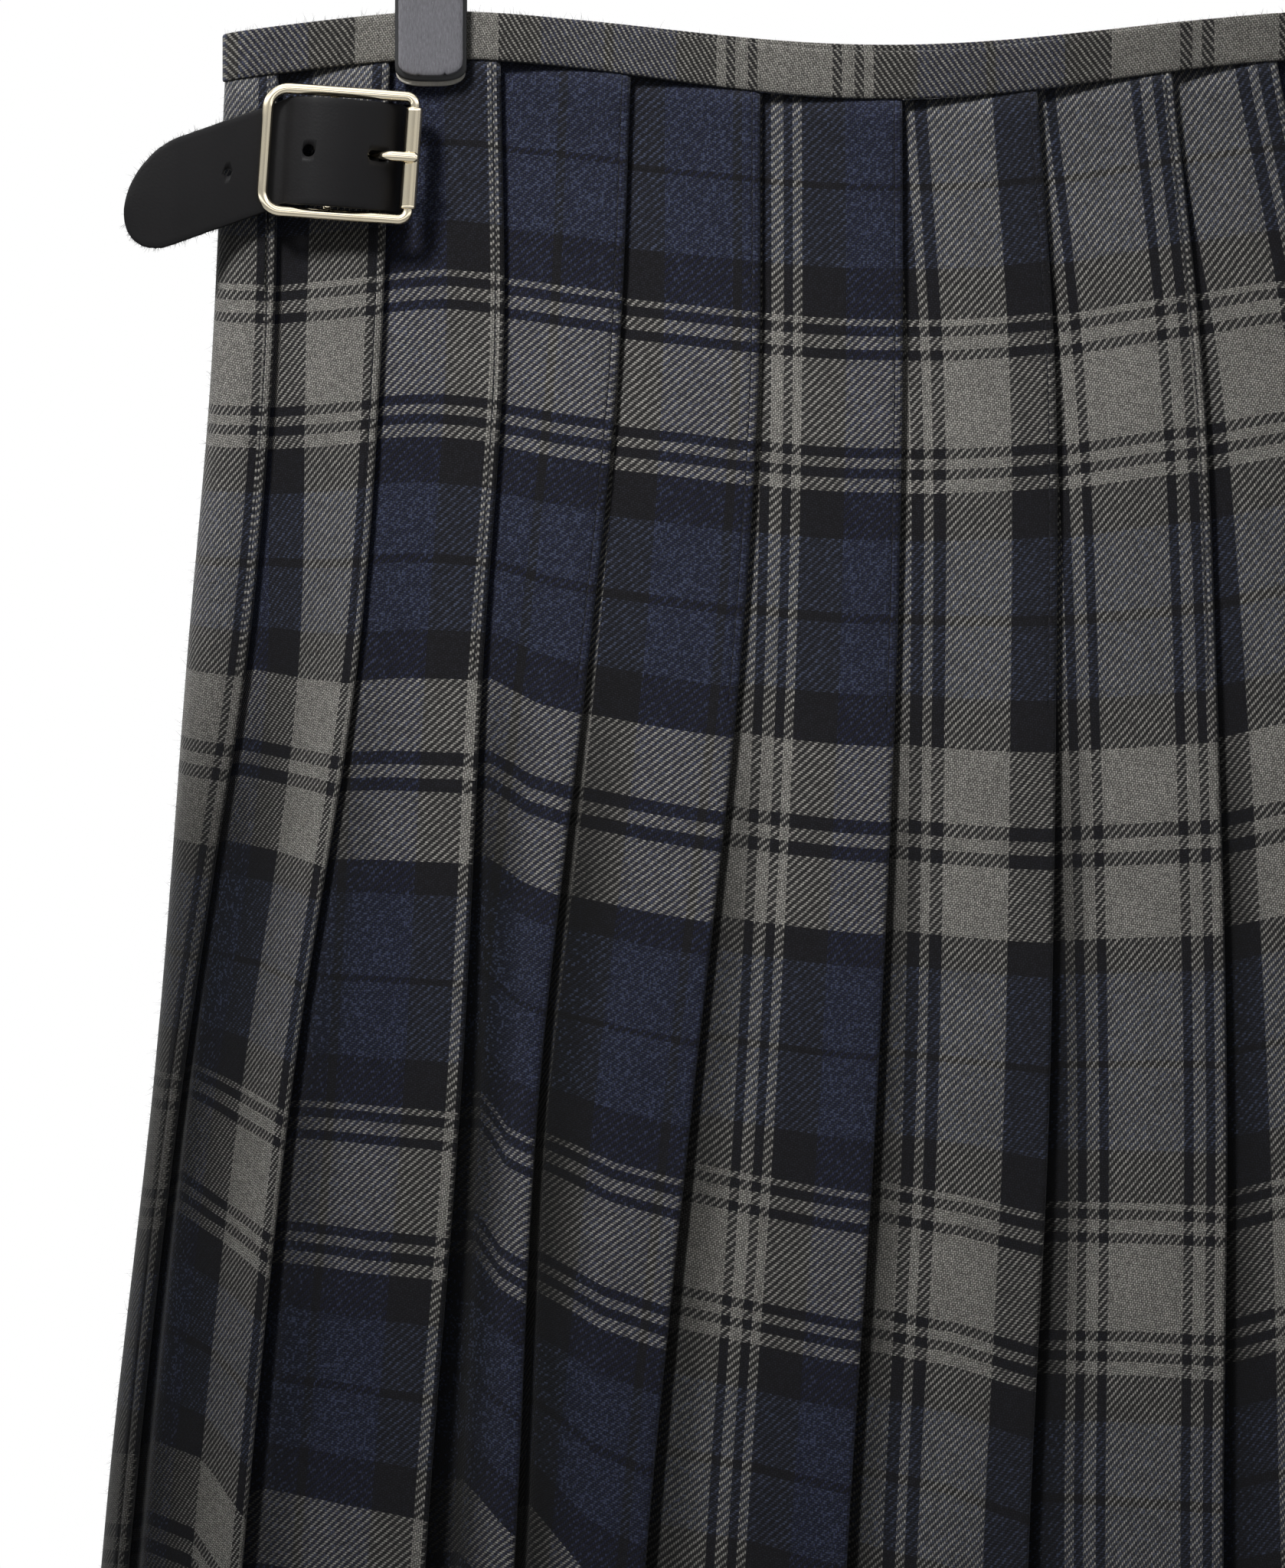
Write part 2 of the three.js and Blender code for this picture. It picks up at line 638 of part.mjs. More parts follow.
function hookPiece() {
  const radius = hookInner + hookWire;
  const arc = spaced(205, -45, 20).map((degrees) => {
    const angle = THREE.MathUtils.degToRad(degrees);
    return new THREE.Vector3(radius * Math.cos(angle), 0, radius * Math.sin(angle) - hookInner);
  });
  const stem = [
    [5.5, -39.5],
    [1.2, -45.5],
    [0, -52],
    [0, barHeight + bossHeight / 2 + seamGap],
  ].map(([x, z]) => new THREE.Vector3(x, 0, z));
  return wireAlong([...arc, ...stem], hookWire);
}

function railPiece() {
  const rail = new THREE.CylinderGeometry(railRadius, railRadius, 2 * railHalfLength, 12)
    .rotateZ(Math.PI / 2)
    .translate(0, 0, barHeight);
  const boss = new THREE.CylinderGeometry(bossRadius, bossRadius, bossHeight, 12)
    .rotateX(Math.PI / 2)
    .translate(0, 0, barHeight);
  return join(rail, [boss]);
}

// One jaw plate: flat, with a slightly bowed lower edge. inner and outer are distances from the
// middle plane, and facing is -1 for the near jaw and 1 for the far one.
function jawPlate(width, bottom, inner, outer, facing) {
  const half = width / 2;
  const shape = new THREE.Shape();
  shape.moveTo(-half, clipTop);
  shape.lineTo(-half, bottom + jawBow);
  shape.quadraticCurveTo(0, bottom - jawBow, half, bottom + jawBow);
  shape.lineTo(half, clipTop);
  shape.closePath();
  const settings = { depth: outer - inner, bevelEnabled: false, curveSegments: 6 };
  const plate = new THREE.ExtrudeGeometry(shape, settings);
  return plate.rotateX(Math.PI / 2).translate(0, facing < 0 ? -inner : outer, 0);
}

// A flat steel spring bent over the rail, whose legs press the two jaws together.
function springPiece() {
  const legY = clipInside + padWall + jawWall + 2 * seamGap + springWall / 2;
  const shoulder = barHeight + railRadius + seamGap + springWall / 2 - legY;
  const over = spaced(180, 0, 11).map((degrees) => {
    const angle = THREE.MathUtils.degToRad(degrees);
    return [legY * Math.cos(angle), shoulder + legY * Math.sin(angle), angle];
  });
  const legs = [-legY, legY].map((y) => [y, springFoot, y < 0 ? Math.PI : 0]);
  const loops = [legs[0], ...over, legs[1]].map(([y, z, angle]) => {
    const [outY, outZ] = [Math.cos(angle), Math.sin(angle)].map((part) => (part * springWall) / 2);
    const half = springWidth / 2;
    return [
      new THREE.Vector3(-half, y + outY, z + outZ),
      new THREE.Vector3(half, y + outY, z + outZ),
      new THREE.Vector3(half, y - outY, z - outZ),
      new THREE.Vector3(-half, y - outY, z - outZ),
    ];
  });
  return loft(loops);
}

function addClip(side, x) {
  const group = new THREE.Group();
  group.position.x = x;
  const padOut = clipInside + padWall;
  const jawIn = padOut + seamGap;
  for (const [name, facing] of [["near", -1], ["far", 1]]) {
    const start = side + "_clip_" + name;
    const pad = jawPlate(clipPadWidth, clipLip, clipInside, padOut, facing);
    const jaw = jawPlate(clipWidth, clipBottom, jawIn, jawIn + jawWall, facing);
    addPiece(start + "_pad", pad, material.blackPlastic, group);
    addPiece(start + "_jaw", jaw, material.greyPlastic, group);
  }
  addPiece(side + "_clip_spring", springPiece(), material.steel, group);
  skirt.add(group);
}

addPiece("hanger_hook", hookPiece(), material.steel);
addPiece("hanger_rail", railPiece(), material.steel);
addClip("left", -clipX);
addClip("right", clipX);

export default skirt;
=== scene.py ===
from math import cos, pi, radians, sin

import bpy
import numpy as np
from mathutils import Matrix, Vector


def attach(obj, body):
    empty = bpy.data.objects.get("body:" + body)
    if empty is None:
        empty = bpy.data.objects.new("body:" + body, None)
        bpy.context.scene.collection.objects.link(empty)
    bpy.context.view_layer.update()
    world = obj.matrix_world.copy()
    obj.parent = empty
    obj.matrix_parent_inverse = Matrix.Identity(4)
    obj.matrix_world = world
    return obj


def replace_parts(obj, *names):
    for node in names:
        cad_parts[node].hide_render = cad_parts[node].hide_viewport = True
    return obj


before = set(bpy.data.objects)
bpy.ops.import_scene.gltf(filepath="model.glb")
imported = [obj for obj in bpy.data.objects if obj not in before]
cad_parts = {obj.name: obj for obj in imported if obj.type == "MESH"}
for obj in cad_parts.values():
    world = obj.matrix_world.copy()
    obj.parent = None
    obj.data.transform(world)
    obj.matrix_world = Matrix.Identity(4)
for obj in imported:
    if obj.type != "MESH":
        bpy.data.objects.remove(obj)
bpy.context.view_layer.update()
rng = np.random.default_rng(11)

# Shapes are worked out in millimetres and turned into metres when a mesh is made.

# The flattened tube that the cloth follows.

tube = {
    "depth": [0, 80, 165, 280, 400, 627],  # below the waistband's lower edge
    "halfWidth": [180, 183.6, 191, 199.8, 212.6, 231],
    "cap": [8, 10, 12, 14, 16, 20],  # length of the rounded ends
    "endHalf": [5.6, 9.5, 12.5, 15.5, 18.5, 22],  # half thickness at the ends
    "midHalf": [12.5, 19, 25, 32, 38, 46],
    "reach": [0.72, 0.86, 0.95, 1, 1, 1],
    "opened": [0, 0, 0.05, 0.35, 0.7, 1],  # how far the pleats have opened
    "seamHeight": -118,
    "waistHalfWidth": 180,
    "clipX": 124.4,
    "frontSag": 11.3,
    "farSag": 8.5,
    "endDroop": 6,
    "sideRise": 0.03,
    "length": 627,
}


# A smooth curve through six values, one for each depth, by cubic pieces with averaged slopes.
def throughLevels(values, depth):
    value, depths = np.asarray(values, float), np.asarray(tube["depth"], float)
    at = np.clip(depth, 0, depths[-1])
    i = np.clip(np.searchsorted(depths, at, side="right") - 1, 0, len(depths) - 2)
    slope = np.diff(value) / np.diff(depths)
    slopes = np.concatenate([slope[:1], (slope[1:] + slope[:-1]) / 2, slope[-1:]])
    span = depths[i + 1] - depths[i]
    t = (at - depths[i]) / span
    return (value[i] * (1 + 2 * t) * (1 - t) ** 2 + value[i + 1] * t * t * (3 - 2 * t)
            + slopes[i] * span * t * (1 - t) ** 2 - slopes[i + 1] * span * t * t * (1 - t))


def levelValue(name, depth):
    return throughLevels(tube[name], depth)


def smooth(t):
    t = np.clip(t, 0, 1)
    return t * t * (3 - 2 * t)


def halfThickness(x, depth):
    flatRun = levelValue("halfWidth", depth) - levelValue("cap", depth)
    share = np.minimum(1, np.abs(x) / (flatRun * levelValue("reach", depth)))
    end = levelValue("endHalf", depth)
    return end + (levelValue("midHalf", depth) - end) * np.cos(pi / 2 * share) ** 2


# Height of the cloth: the waistband's sag, and rows that rise towards the sides.
def heightAt(x, y, depth):
    share = x / levelValue("halfWidth", np.maximum(depth, 0))
    waistX = np.abs(share) * tube["waistHalfWidth"]
    sag = np.where(y < 0, tube["frontSag"], tube["farSag"])
    between = sag * np.cos(pi / 2 * np.minimum(1, waistX / tube["clipX"])) ** 2
    outside = np.maximum(0, waistX - tube["clipX"]) / (tube["waistHalfWidth"] - tube["clipX"])
    drop = np.where(waistX < tube["clipX"], between, tube["endDroop"] * outside ** 1.3)
    return tube["seamHeight"] - drop - depth * (1 - tube["sideRise"] * share * share)


# The tube's outline at one depth. Distance runs from the middle of the pleated side to the right,
# round the end and along the far side; negative distance runs the mirror way.
class Outline:
    def __init__(self, depth):
        self.depth = depth
        shapeDepth = max(depth, 0)
        cap = levelValue("cap", shapeDepth)
        flatRun = levelValue("halfWidth", shapeDepth) - cap
        endHalf = levelValue("endHalf", shapeDepth)
        front = np.linspace(0, flatRun, 97)
        turn = np.linspace(-pi / 2, pi / 2, 49)[1:]
        back = np.linspace(flatRun, -flatRun, 193)[1:]
        self.x = np.concatenate([front, flatRun + cap * np.cos(turn), back])
        self.y = np.concatenate([-halfThickness(front, shapeDepth), endHalf * np.sin(turn),
                                 halfThickness(back, shapeDepth)])
        steps = np.hypot(np.diff(self.x), np.diff(self.y))
        self.s = np.concatenate([[0], np.cumsum(steps)])
        self.capMiddle, self.end = self.s[96 + 24], self.s[96 + 48]

    def place(self, distance):
        x = np.interp(np.abs(distance), self.s, self.x)
        return np.sign(distance) * x, np.interp(np.abs(distance), self.s, self.y)

    def point(self, distance, inwards):
        distance = np.asarray(distance, float)
        x, y = self.place(distance)
        ax, ay = self.place(distance - 0.5)
        bx, by = self.place(distance + 0.5)
        length = np.hypot(bx - ax, by - ay)
        return x - (by - ay) / length * inwards, y + (bx - ax) / length * inwards

    def nearDistance(self, x):
        return np.sign(x) * np.interp(np.abs(x), self.x[:121], self.s[:121])

    def farDistance(self, x, direction):
        return direction * np.interp(x * direction, self.x[:143:-1], self.s[:143:-1])


# Meshes from arrays.

def addObject(name, data):
    made = bpy.data.objects.new(name, data)
    bpy.context.collection.objects.link(made)
    return made


def makeMesh(name, points, quads, body="root", slot=None, uv=None, material=None):
    mesh = bpy.data.meshes.new(name)
    points = np.asarray(points, float).reshape(-1, 3) * 0.001
    quads = [np.asarray(q, np.int64) for q in (quads if isinstance(quads, list) else [quads]) if len(q)]
    sizes = np.concatenate([np.full(len(q), q.shape[1]) for q in quads])
    corners = np.concatenate([q.reshape(-1) for q in quads])
    mesh.vertices.add(len(points))
    mesh.vertices.foreach_set("co", points.astype(np.float32).reshape(-1))
    mesh.loops.add(len(corners))
    mesh.loops.foreach_set("vertex_index", corners.astype(np.int32))
    mesh.polygons.add(len(sizes))
    mesh.polygons.foreach_set("loop_start", np.concatenate([[0], np.cumsum(sizes)[:-1]]).astype(np.int32))
    mesh.polygons.foreach_set("use_smooth", np.full(len(sizes), True))
    mesh.update(calc_edges=True)
    for label, values in (uv or {}).items():
        layer = mesh.uv_layers.new(name=label)
        layer.data.foreach_set("uv", (values.reshape(-1, 2) * 0.001)[corners].astype(np.float32).reshape(-1))
    mesh.validate()
    piece = addObject(name, mesh)
    if material:
        mesh.materials.append(material)
    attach(piece, body)
    return piece


# Quads between rows of equal loops. The loops close on themselves; ring also joins the last row to
# the first. Open ends are closed by a strip across the wall where wall is true, or by one face each.
def loopQuads(rows, count, ring=False, wall=False):
    r = np.arange(rows if ring else rows - 1)[:, None]
    i = np.arange(count)[None, :]
    a, b = r * count + i, r * count + (i + 1) % count
    c, d = ((r + 1) % rows) * count + (i + 1) % count, ((r + 1) % rows) * count + i
    faces = [np.stack([a, b, c, d], -1).reshape(-1, 4)]
    if not ring:
        if wall:
            k = np.arange(count // 2 - 1)
            first = np.stack([k, k + 1, count - 2 - k, count - 1 - k], -1)
            faces += [first[:, ::-1], first + (rows - 1) * count]
        else:
            faces += [np.arange(count)[None, ::-1], np.arange(count)[None, :] + (rows - 1) * count]
    return faces


# Turns the faces round where the closed mesh's volume comes out negative.
def outwards(points, faces):
    p = np.asarray(points, float).reshape(-1, 3)
    volume = 0.0
    for f in faces:
        for k in range(1, f.shape[1] - 1):
            volume += np.einsum("ij,ij->i", p[f[:, 0]], np.cross(p[f[:, k]], p[f[:, k + 1]])).sum()
    return [f[:, ::-1] for f in faces] if volume < 0 else faces


# A round wire along a path. Its sections stay square to the path, and its radius may change along it.
def wireAlong(path, radius, sides=16, ring=False):
    path = np.asarray(path, float)
    radius = np.broadcast_to(radius, len(path))
    before = np.roll(path, 1, 0) if ring else np.vstack([path[:1], path[:-1]])
    after = np.roll(path, -1, 0) if ring else np.vstack([path[1:], path[-1:]])
    along = after - before
    along /= np.linalg.norm(along, axis=1)[:, None]
    normal = np.array([1.0, 0, 0]) if abs(along[0][1]) > 0.9 else np.array([0.0, 1, 0])
    angle = 2 * pi * (np.arange(sides) + 0.5) / sides
    loops = []
    for point, tangent, r in zip(path, along, radius):
        normal = normal - tangent * normal.dot(tangent)
        normal /= np.linalg.norm(normal)
        across = np.cross(tangent, normal)
        loops.append(point + r * np.cos(angle)[:, None] * normal + r * np.sin(angle)[:, None] * across)
    loops = np.array(loops)
    return loops.reshape(-1, 3), outwards(loops, loopQuads(len(path), sides, ring=ring))


# Several closed shapes in one mesh.
def together(parts):
    points, faces, offset = [], [], 0
    for p, f in parts:
        points.append(p)
        faces += [q + offset for q in f]
        offset += len(p)
    bySize = {}
    for q in faces:
        bySize.setdefault(q.shape[1], []).append(q)
    return np.vstack(points), [np.vstack(q) for q in bySize.values()]


# Loose hairs: three-sided tapered fibres that leave a surface and bend over.
def fibres(name, base, outward, length, radius, material, slot):
    count = len(base)
    t = np.array([0, 0.35, 0.7, 1])[None, :, None]
    lean = rng.normal(0, 0.55, (count, 1, 3))
    bend = rng.normal(0, 0.6, (count, 1, 3))
    heading = outward[:, None] + lean
    reach = rng.uniform(0.3, 1, (count, 1, 1)) * length
    spine = base[:, None] + reach * (heading * (t - 0.05) + bend * t * t * 0.5)
    angle = 2 * pi * np.arange(3) / 3
    ring = np.stack([np.cos(angle), np.sin(angle), 0.5 * np.sin(2 * angle)], -1)[None, None]
    points = spine[:, :, None] + ring * radius * (1.15 - t)[..., None]
    side, caps = loopQuads(4, 3)[0], np.array([[2, 1, 0], [9, 10, 11]])
    start = 12 * np.arange(count)[:, None, None]
    quads, ends = side + start, caps + start
    # each fibre whose own volume comes out negative has its faces turned
    corners = np.vstack([side[:, :3], side[:, [0, 2, 3]], caps])
    local = points.reshape(count, 12, 3) - points.reshape(count, 12, 3).mean(1, keepdims=True)
    first, second, third = (local[:, corners[:, k]] for k in range(3))
    volume = np.einsum("fcj,fcj->f", first, np.cross(second, third))
    turned = volume < 0
    quads[turned], ends[turned] = quads[turned][..., ::-1], ends[turned][..., ::-1]
    faces = [quads.reshape(-1, 4), ends.reshape(-1, 3)]
    return makeMesh(name, points, faces, slot=slot, material=material)


# A smooth path through points, by cubic pieces with averaged slopes, evenly sampled in each piece.
def throughPoints(points, per, ring=False):
    p = np.asarray(points, float)
    if ring:
        p = np.vstack([p[-1:], p, p[:2]])
    else:
        p = np.vstack([2 * p[0] - p[1], p, 2 * p[-1] - p[-2]])
    t = np.linspace(0, 1, per, endpoint=False)[None, :, None]
    a, b, c, d = p[:-3, None], p[1:-2, None], p[2:-1, None], p[3:, None]
    curve = 0.5 * (2 * b + (c - a) * t + (2 * a - 5 * b + 4 * c - d) * t ** 2 + (3 * b - a - 3 * c + d) * t ** 3)
    curve = curve.reshape(-1, p.shape[1])
    return curve if ring else np.vstack([curve, p[-2]])


# Materials.

def newMaterial(name, roughness=0.8, metallic=0.0, **settings):
    material = bpy.data.materials.new(name)
    material.use_nodes = True
    shader = material.node_tree.nodes["Principled BSDF"]
    shader.inputs["Roughness"].default_value = roughness
    shader.inputs["Metallic"].default_value = metallic
    for key, value in settings.items():
        shader.inputs[key].default_value = value
    return material, material.node_tree, shader


def node(tree, kind, inputs=None, **settings):
    made = tree.nodes.new(kind)
    for key, value in settings.items():
        setattr(made, key, value)
    for key, value in (inputs or {}).items():
        if isinstance(value, bpy.types.NodeSocket):
            tree.links.new(value, made.inputs[key])
        else:
            made.inputs[key].default_value = value
    return made


def maths(tree, operation, a, b=None, c=None, clamp=False):
    inputs = {i: v for i, v in enumerate((a, b, c)) if v is not None}
    return node(tree, "ShaderNodeMath", inputs, operation=operation, use_clamp=clamp).outputs[0]


def mixColour(tree, share, a, b):
    made = tree.nodes.new("ShaderNodeMix")
    made.data_type = "RGBA"
    for index, value in ((0, share), (6, a), (7, b)):
        if isinstance(value, bpy.types.NodeSocket):
            tree.links.new(value, made.inputs[index])
        else:
            made.inputs[index].default_value = value
    return made.outputs[2]


# Gives a shader its colour and a bump made from a height.
def finishShader(tree, shader, colour, height, strength, distance=0.0001):
    tree.links.new(colour, shader.inputs["Base Color"])
    bump = node(tree, "ShaderNodeBump", {"Height": height, "Strength": strength, "Distance": distance})
    tree.links.new(bump.outputs[0], shader.inputs["Normal"])


def newGroup(name, inputs, outputs):
    group = bpy.data.node_groups.new(name, "ShaderNodeTree")
    for label, kind, value in inputs:
        socket = group.interface.new_socket(name=label, in_out="INPUT", socket_type=kind)
        if value is not None:
            socket.default_value = value
    for label, kind in outputs:
        group.interface.new_socket(name=label, in_out="OUTPUT", socket_type=kind)
    start, end = group.nodes.new("NodeGroupInput"), group.nodes.new("NodeGroupOutput")
    return group, start, end


def srgb(r, g, b):
    linear = [(c / 255 / 12.92) if c <= 10 else ((c / 255 + 0.055) / 1.055) ** 2.4 for c in (r, g, b)]
    return (*linear, 1)


# A 2/2 twill: each yarn passes over two and under two, one step further right in each row up. The
# warp mask says which yarn lies on top, and height follows its rounded float; the cloth material paints
# shade from that height, light on the crown and dark between yarns.
def twillGroup():
    t, start, end = newGroup(
        "twillWeave",
        [("Across", "NodeSocketFloat", 0), ("Along", "NodeSocketFloat", 0), ("Yarn width", "NodeSocketFloat", 0.53),
         ("Row height", "NodeSocketFloat", 0.53)],
        [("Warp on top", "NodeSocketFloat"), ("Height", "NodeSocketFloat"), ("Fleck", "NodeSocketFloat"),
         ("Tone", "NodeSocketFloat")])
    wobble = node(t, "ShaderNodeCombineXYZ", {"X": start.outputs["Across"], "Y": start.outputs["Along"]})
    loose = node(t, "ShaderNodeTexNoise", {"Vector": wobble.outputs[0], "Scale": 260.0, "Detail": 1.0})
    shift = maths(t, "MULTIPLY", maths(t, "SUBTRACT", loose.outputs[0], 0.5), 0.5)

    def yarnCount(along, size):
        count = maths(t, "DIVIDE", maths(t, "MULTIPLY", start.outputs[along], 1000.0), start.outputs[size])
        return maths(t, "ADD", count, shift)

    a, b = yarnCount("Across", "Yarn width"), yarnCount("Along", "Row height")
    i, j = maths(t, "FLOOR", a), maths(t, "FLOOR", b)
    turn = maths(t, "FLOORED_MODULO", maths(t, "ADD", i, j), 4.0)
    warp = maths(t, "LESS_THAN", turn, 1.5)
    fu, fv = maths(t, "FRACT", a), maths(t, "FRACT", b)
    inFloat = maths(t, "FLOORED_MODULO", turn, 2.0)
    alongWarp = maths(t, "MULTIPLY", maths(t, "ADD", inFloat, fv), 0.5)
    alongWeft = maths(t, "MULTIPLY", maths(t, "ADD", inFloat, fu), 0.5)
    pick = node(t, "ShaderNodeMix", {0: warp, 2: alongWeft, 3: alongWarp}).outputs[0]
    cross = node(t, "ShaderNodeMix", {0: warp, 2: fv, 3: fu}).outputs[0]
    crown = maths(t, "SINE", maths(t, "MULTIPLY", cross, pi))
    arch = maths(t, "SINE", maths(t, "MULTIPLY", pick, pi))
    height = maths(t, "MULTIPLY", maths(t, "POWER", crown, 0.9), maths(t, "POWER", arch, 0.7))
    cell = node(t, "ShaderNodeCombineXYZ", {"X": i, "Y": j})
    fleck = node(t, "ShaderNodeTexWhiteNoise", {"Vector": cell.outputs[0]}, noise_dimensions="2D")
    toneNoise = node(t, "ShaderNodeTexNoise", {"Vector": wobble.outputs[0], "Scale": 45.0, "Detail": 3.0})
    for name, value in (("Warp on top", warp), ("Height", height), ("Fleck", fleck.outputs[0]),
                        ("Tone", toneNoise.outputs[0])):
        t.links.new(value, end.inputs[name])
    return t


# The sett as a ramp over one repeat: each colour runs up to the place that its row gives.
def settRamp(tree, sett, repeat, place):
    ramp = node(tree, "ShaderNodeValToRGB",
                {"Fac": maths(tree, "FRACT", maths(tree, "DIVIDE", place, repeat))})
    stops = ramp.color_ramp
    stops.interpolation = "CONSTANT"
    start = 0.0
    for k, (colour, end) in enumerate(sett):
        stop = stops.elements[k] if k < 2 else stops.elements.new(min(0.999, start))
        stop.position, stop.color = start, yarn[colour]
        start = end / sett[-1][1]
    return ramp.outputs[0]


yarn = {"grey": srgb(160, 157, 151), "navy": srgb(36, 39, 62), "black": srgb(27, 26, 30),
        "dimNavy": srgb(58, 62, 77)}
warpSett = [("grey", 12), ("black", 24), ("grey", 38), ("black", 50), ("grey", 150), ("black", 162), ("grey", 176),
            ("black", 188), ("grey", 200), ("black", 260), ("navy", 349), ("black", 362), ("navy", 451),
            ("black", 511), ("grey", 602), ("black", 616), ("grey", 630), ("black", 646), ("grey", 732),
            ("black", 792), ("navy", 881), ("black", 894), ("navy", 983), ("black", 1043)]
weftSett = [("dimNavy", 111), ("black", 119), ("dimNavy", 218), ("black", 285), ("grey", 295), ("black", 310),
            ("grey", 325), ("black", 339), ("grey", 454), ("black", 467), ("grey", 483), ("black", 496),
            ("grey", 512), ("black", 575), ("dimNavy", 674), ("black", 688), ("dimNavy", 780), ("black", 848),
            ("grey", 946), ("black", 963), ("grey", 979), ("black", 996), ("grey", 1090), ("black", 1137)]
settStep = 1 / 4.8  # millimetres for one step of the setts


def blueness(tree, colour):
    parts = node(tree, "ShaderNodeSeparateColor", {0: colour})
    return maths(tree, "MULTIPLY", maths(tree, "SUBTRACT", parts.outputs[2], parts.outputs[0]), 30.0, clamp=True)


def clothMaterial(name, weftColour=None, yarnWidth=0.53, rowHeight=0.53):
    material, tree, shader = newMaterial(name, roughness=0.93, **{"Sheen Weight": 0.15, "Sheen Roughness": 0.5,
                                                                  "Specular IOR Level": 0.2})
    cloth = node(tree, "ShaderNodeUVMap", uv_map="clothMap")
    across = node(tree, "ShaderNodeSeparateXYZ", {0: cloth.outputs[0]})
    u, v = across.outputs[0], across.outputs[1]
    plain = node(tree, "ShaderNodeSeparateXYZ", {0: node(tree, "ShaderNodeUVMap", uv_map="weaveMap").outputs[0]})
    weave = node(tree, "ShaderNodeGroup", node_tree=twill)
    for label, value in (("Across", plain.outputs[0]), ("Along", plain.outputs[1])):
        tree.links.new(value, weave.inputs[label])
    weave.inputs["Yarn width"].default_value = yarnWidth
    weave.inputs["Row height"].default_value = rowHeight
    warpColour = settRamp(tree, warpSett, warpSett[-1][1] * settStep / 1000, u)
    if weftColour is None:
        weftColour = settRamp(tree, weftSett, weftSett[-1][1] * settStep / 1000, v)
    # a little of the yarn beneath shows between the fibres of the one on top
    share = maths(tree, "ADD", maths(tree, "MULTIPLY", weave.outputs["Warp on top"], 0.86), 0.07)
    colour = mixColour(tree, share, weftColour, warpColour)
    # painted shade on each yarn: the colour is lighter on its crown and darker in the gaps between yarns, where shade
    # falls
    paintedShade = maths(tree, "ADD", maths(tree, "MULTIPLY", weave.outputs["Height"], 1.25), 0.12)
    fleck = maths(tree, "ADD", maths(tree, "MULTIPLY", weave.outputs["Fleck"], 0.75), 0.625)
    lint = node(tree, "ShaderNodeTexNoise", {"Vector": cloth.outputs[0], "Scale": 2600.0, "Detail": 2.0}).outputs[0]
    cloud = maths(tree, "MULTIPLY", weave.outputs["Tone"], 0.3)
    tone = maths(tree, "ADD", cloud, maths(tree, "MULTIPLY_ADD", lint, 1.0, 0.35))
    # the valley attribute is painted shade: the colour is darkened beside each fold, where the fold's shadow falls
    valley = node(tree, "ShaderNodeAttribute", attribute_name="valley").outputs["Fac"]
    paintedShadeFactor = maths(tree, "SUBTRACT", 1.0, maths(tree, "MULTIPLY", valley, 0.85))
    # the brightness: random tone together with the painted shade of the yarns and beside the folds
    toneAndPaintedShade = maths(tree, "MULTIPLY", maths(tree, "MULTIPLY", paintedShade, fleck), maths(tree, "MULTIPLY", tone, paintedShadeFactor))
    # the two navy yarns, the only ones more blue than red, have a few light fibres in them
    scaled = node(tree, "ShaderNodeVectorMath", {0: colour, 3: toneAndPaintedShade}, operation="SCALE")
    specks = maths(tree, "MULTIPLY", maths(tree, "GREATER_THAN", weave.outputs["Fleck"], 0.8), 0.22)
    fleckShare = maths(tree, "MULTIPLY", blueness(tree, colour), specks)
    flecked = mixColour(tree, fleckShare, scaled.outputs[0], srgb(96, 108, 138))
    finishShader(tree, shader, flecked, weave.outputs["Height"], 0.5, 0.0002)
    return material


twill = twillGroup()
tartan = clothMaterial("tartanTwill")
bandTartan = clothMaterial("bandTwill", weftColour=srgb(150, 147, 140), yarnWidth=0.42, rowHeight=0.6)


def leatherMaterial():
    material, tree, shader = newMaterial("blackLeather", roughness=0.5, **{"Specular IOR Level": 0.16})
    place = node(tree, "ShaderNodeTexCoord").outputs["Object"]
    grain = node(tree, "ShaderNodeTexVoronoi", {"Vector": place, "Scale": 1600.0}, feature="SMOOTH_F1")
    cloud = node(tree, "ShaderNodeTexNoise", {"Vector": place, "Scale": 160.0, "Detail": 5.0})
    base = mixColour(tree, cloud.outputs[0], srgb(13, 12, 13), srgb(22, 21, 22))
    rough = maths(tree, "ADD", maths(tree, "MULTIPLY", cloud.outputs[0], 0.25), 0.42)
    tree.links.new(rough, shader.inputs["Roughness"])
    height = maths(tree, "ADD", maths(tree, "MULTIPLY", grain.outputs[0], 0.6), cloud.outputs[0])
    finishShader(tree, shader, base, height, 0.25, 0.0002)
    return material


def metalMaterial(name, light, dark, roughness):
    material, tree, shader = newMaterial(name, roughness=roughness, metallic=1.0)
    place = node(tree, "ShaderNodeTexCoord").outputs["Object"]
    haze = node(tree, "ShaderNodeTexNoise", {"Vector": place, "Scale": 120.0, "Detail": 4.0})
    fine = node(tree, "ShaderNodeTexNoise", {"Vector": place, "Scale": 1500.0, "Detail": 2.0})
    colour = mixColour(tree, haze.outputs[0], light, dark)
    rough = maths(tree, "ADD", maths(tree, "MULTIPLY", haze.outputs[0], 0.12), roughness - 0.06)
    tree.links.new(rough, shader.inputs["Roughness"])
    finishShader(tree, shader, colour, fine.outputs[0], 0.01)
    return material


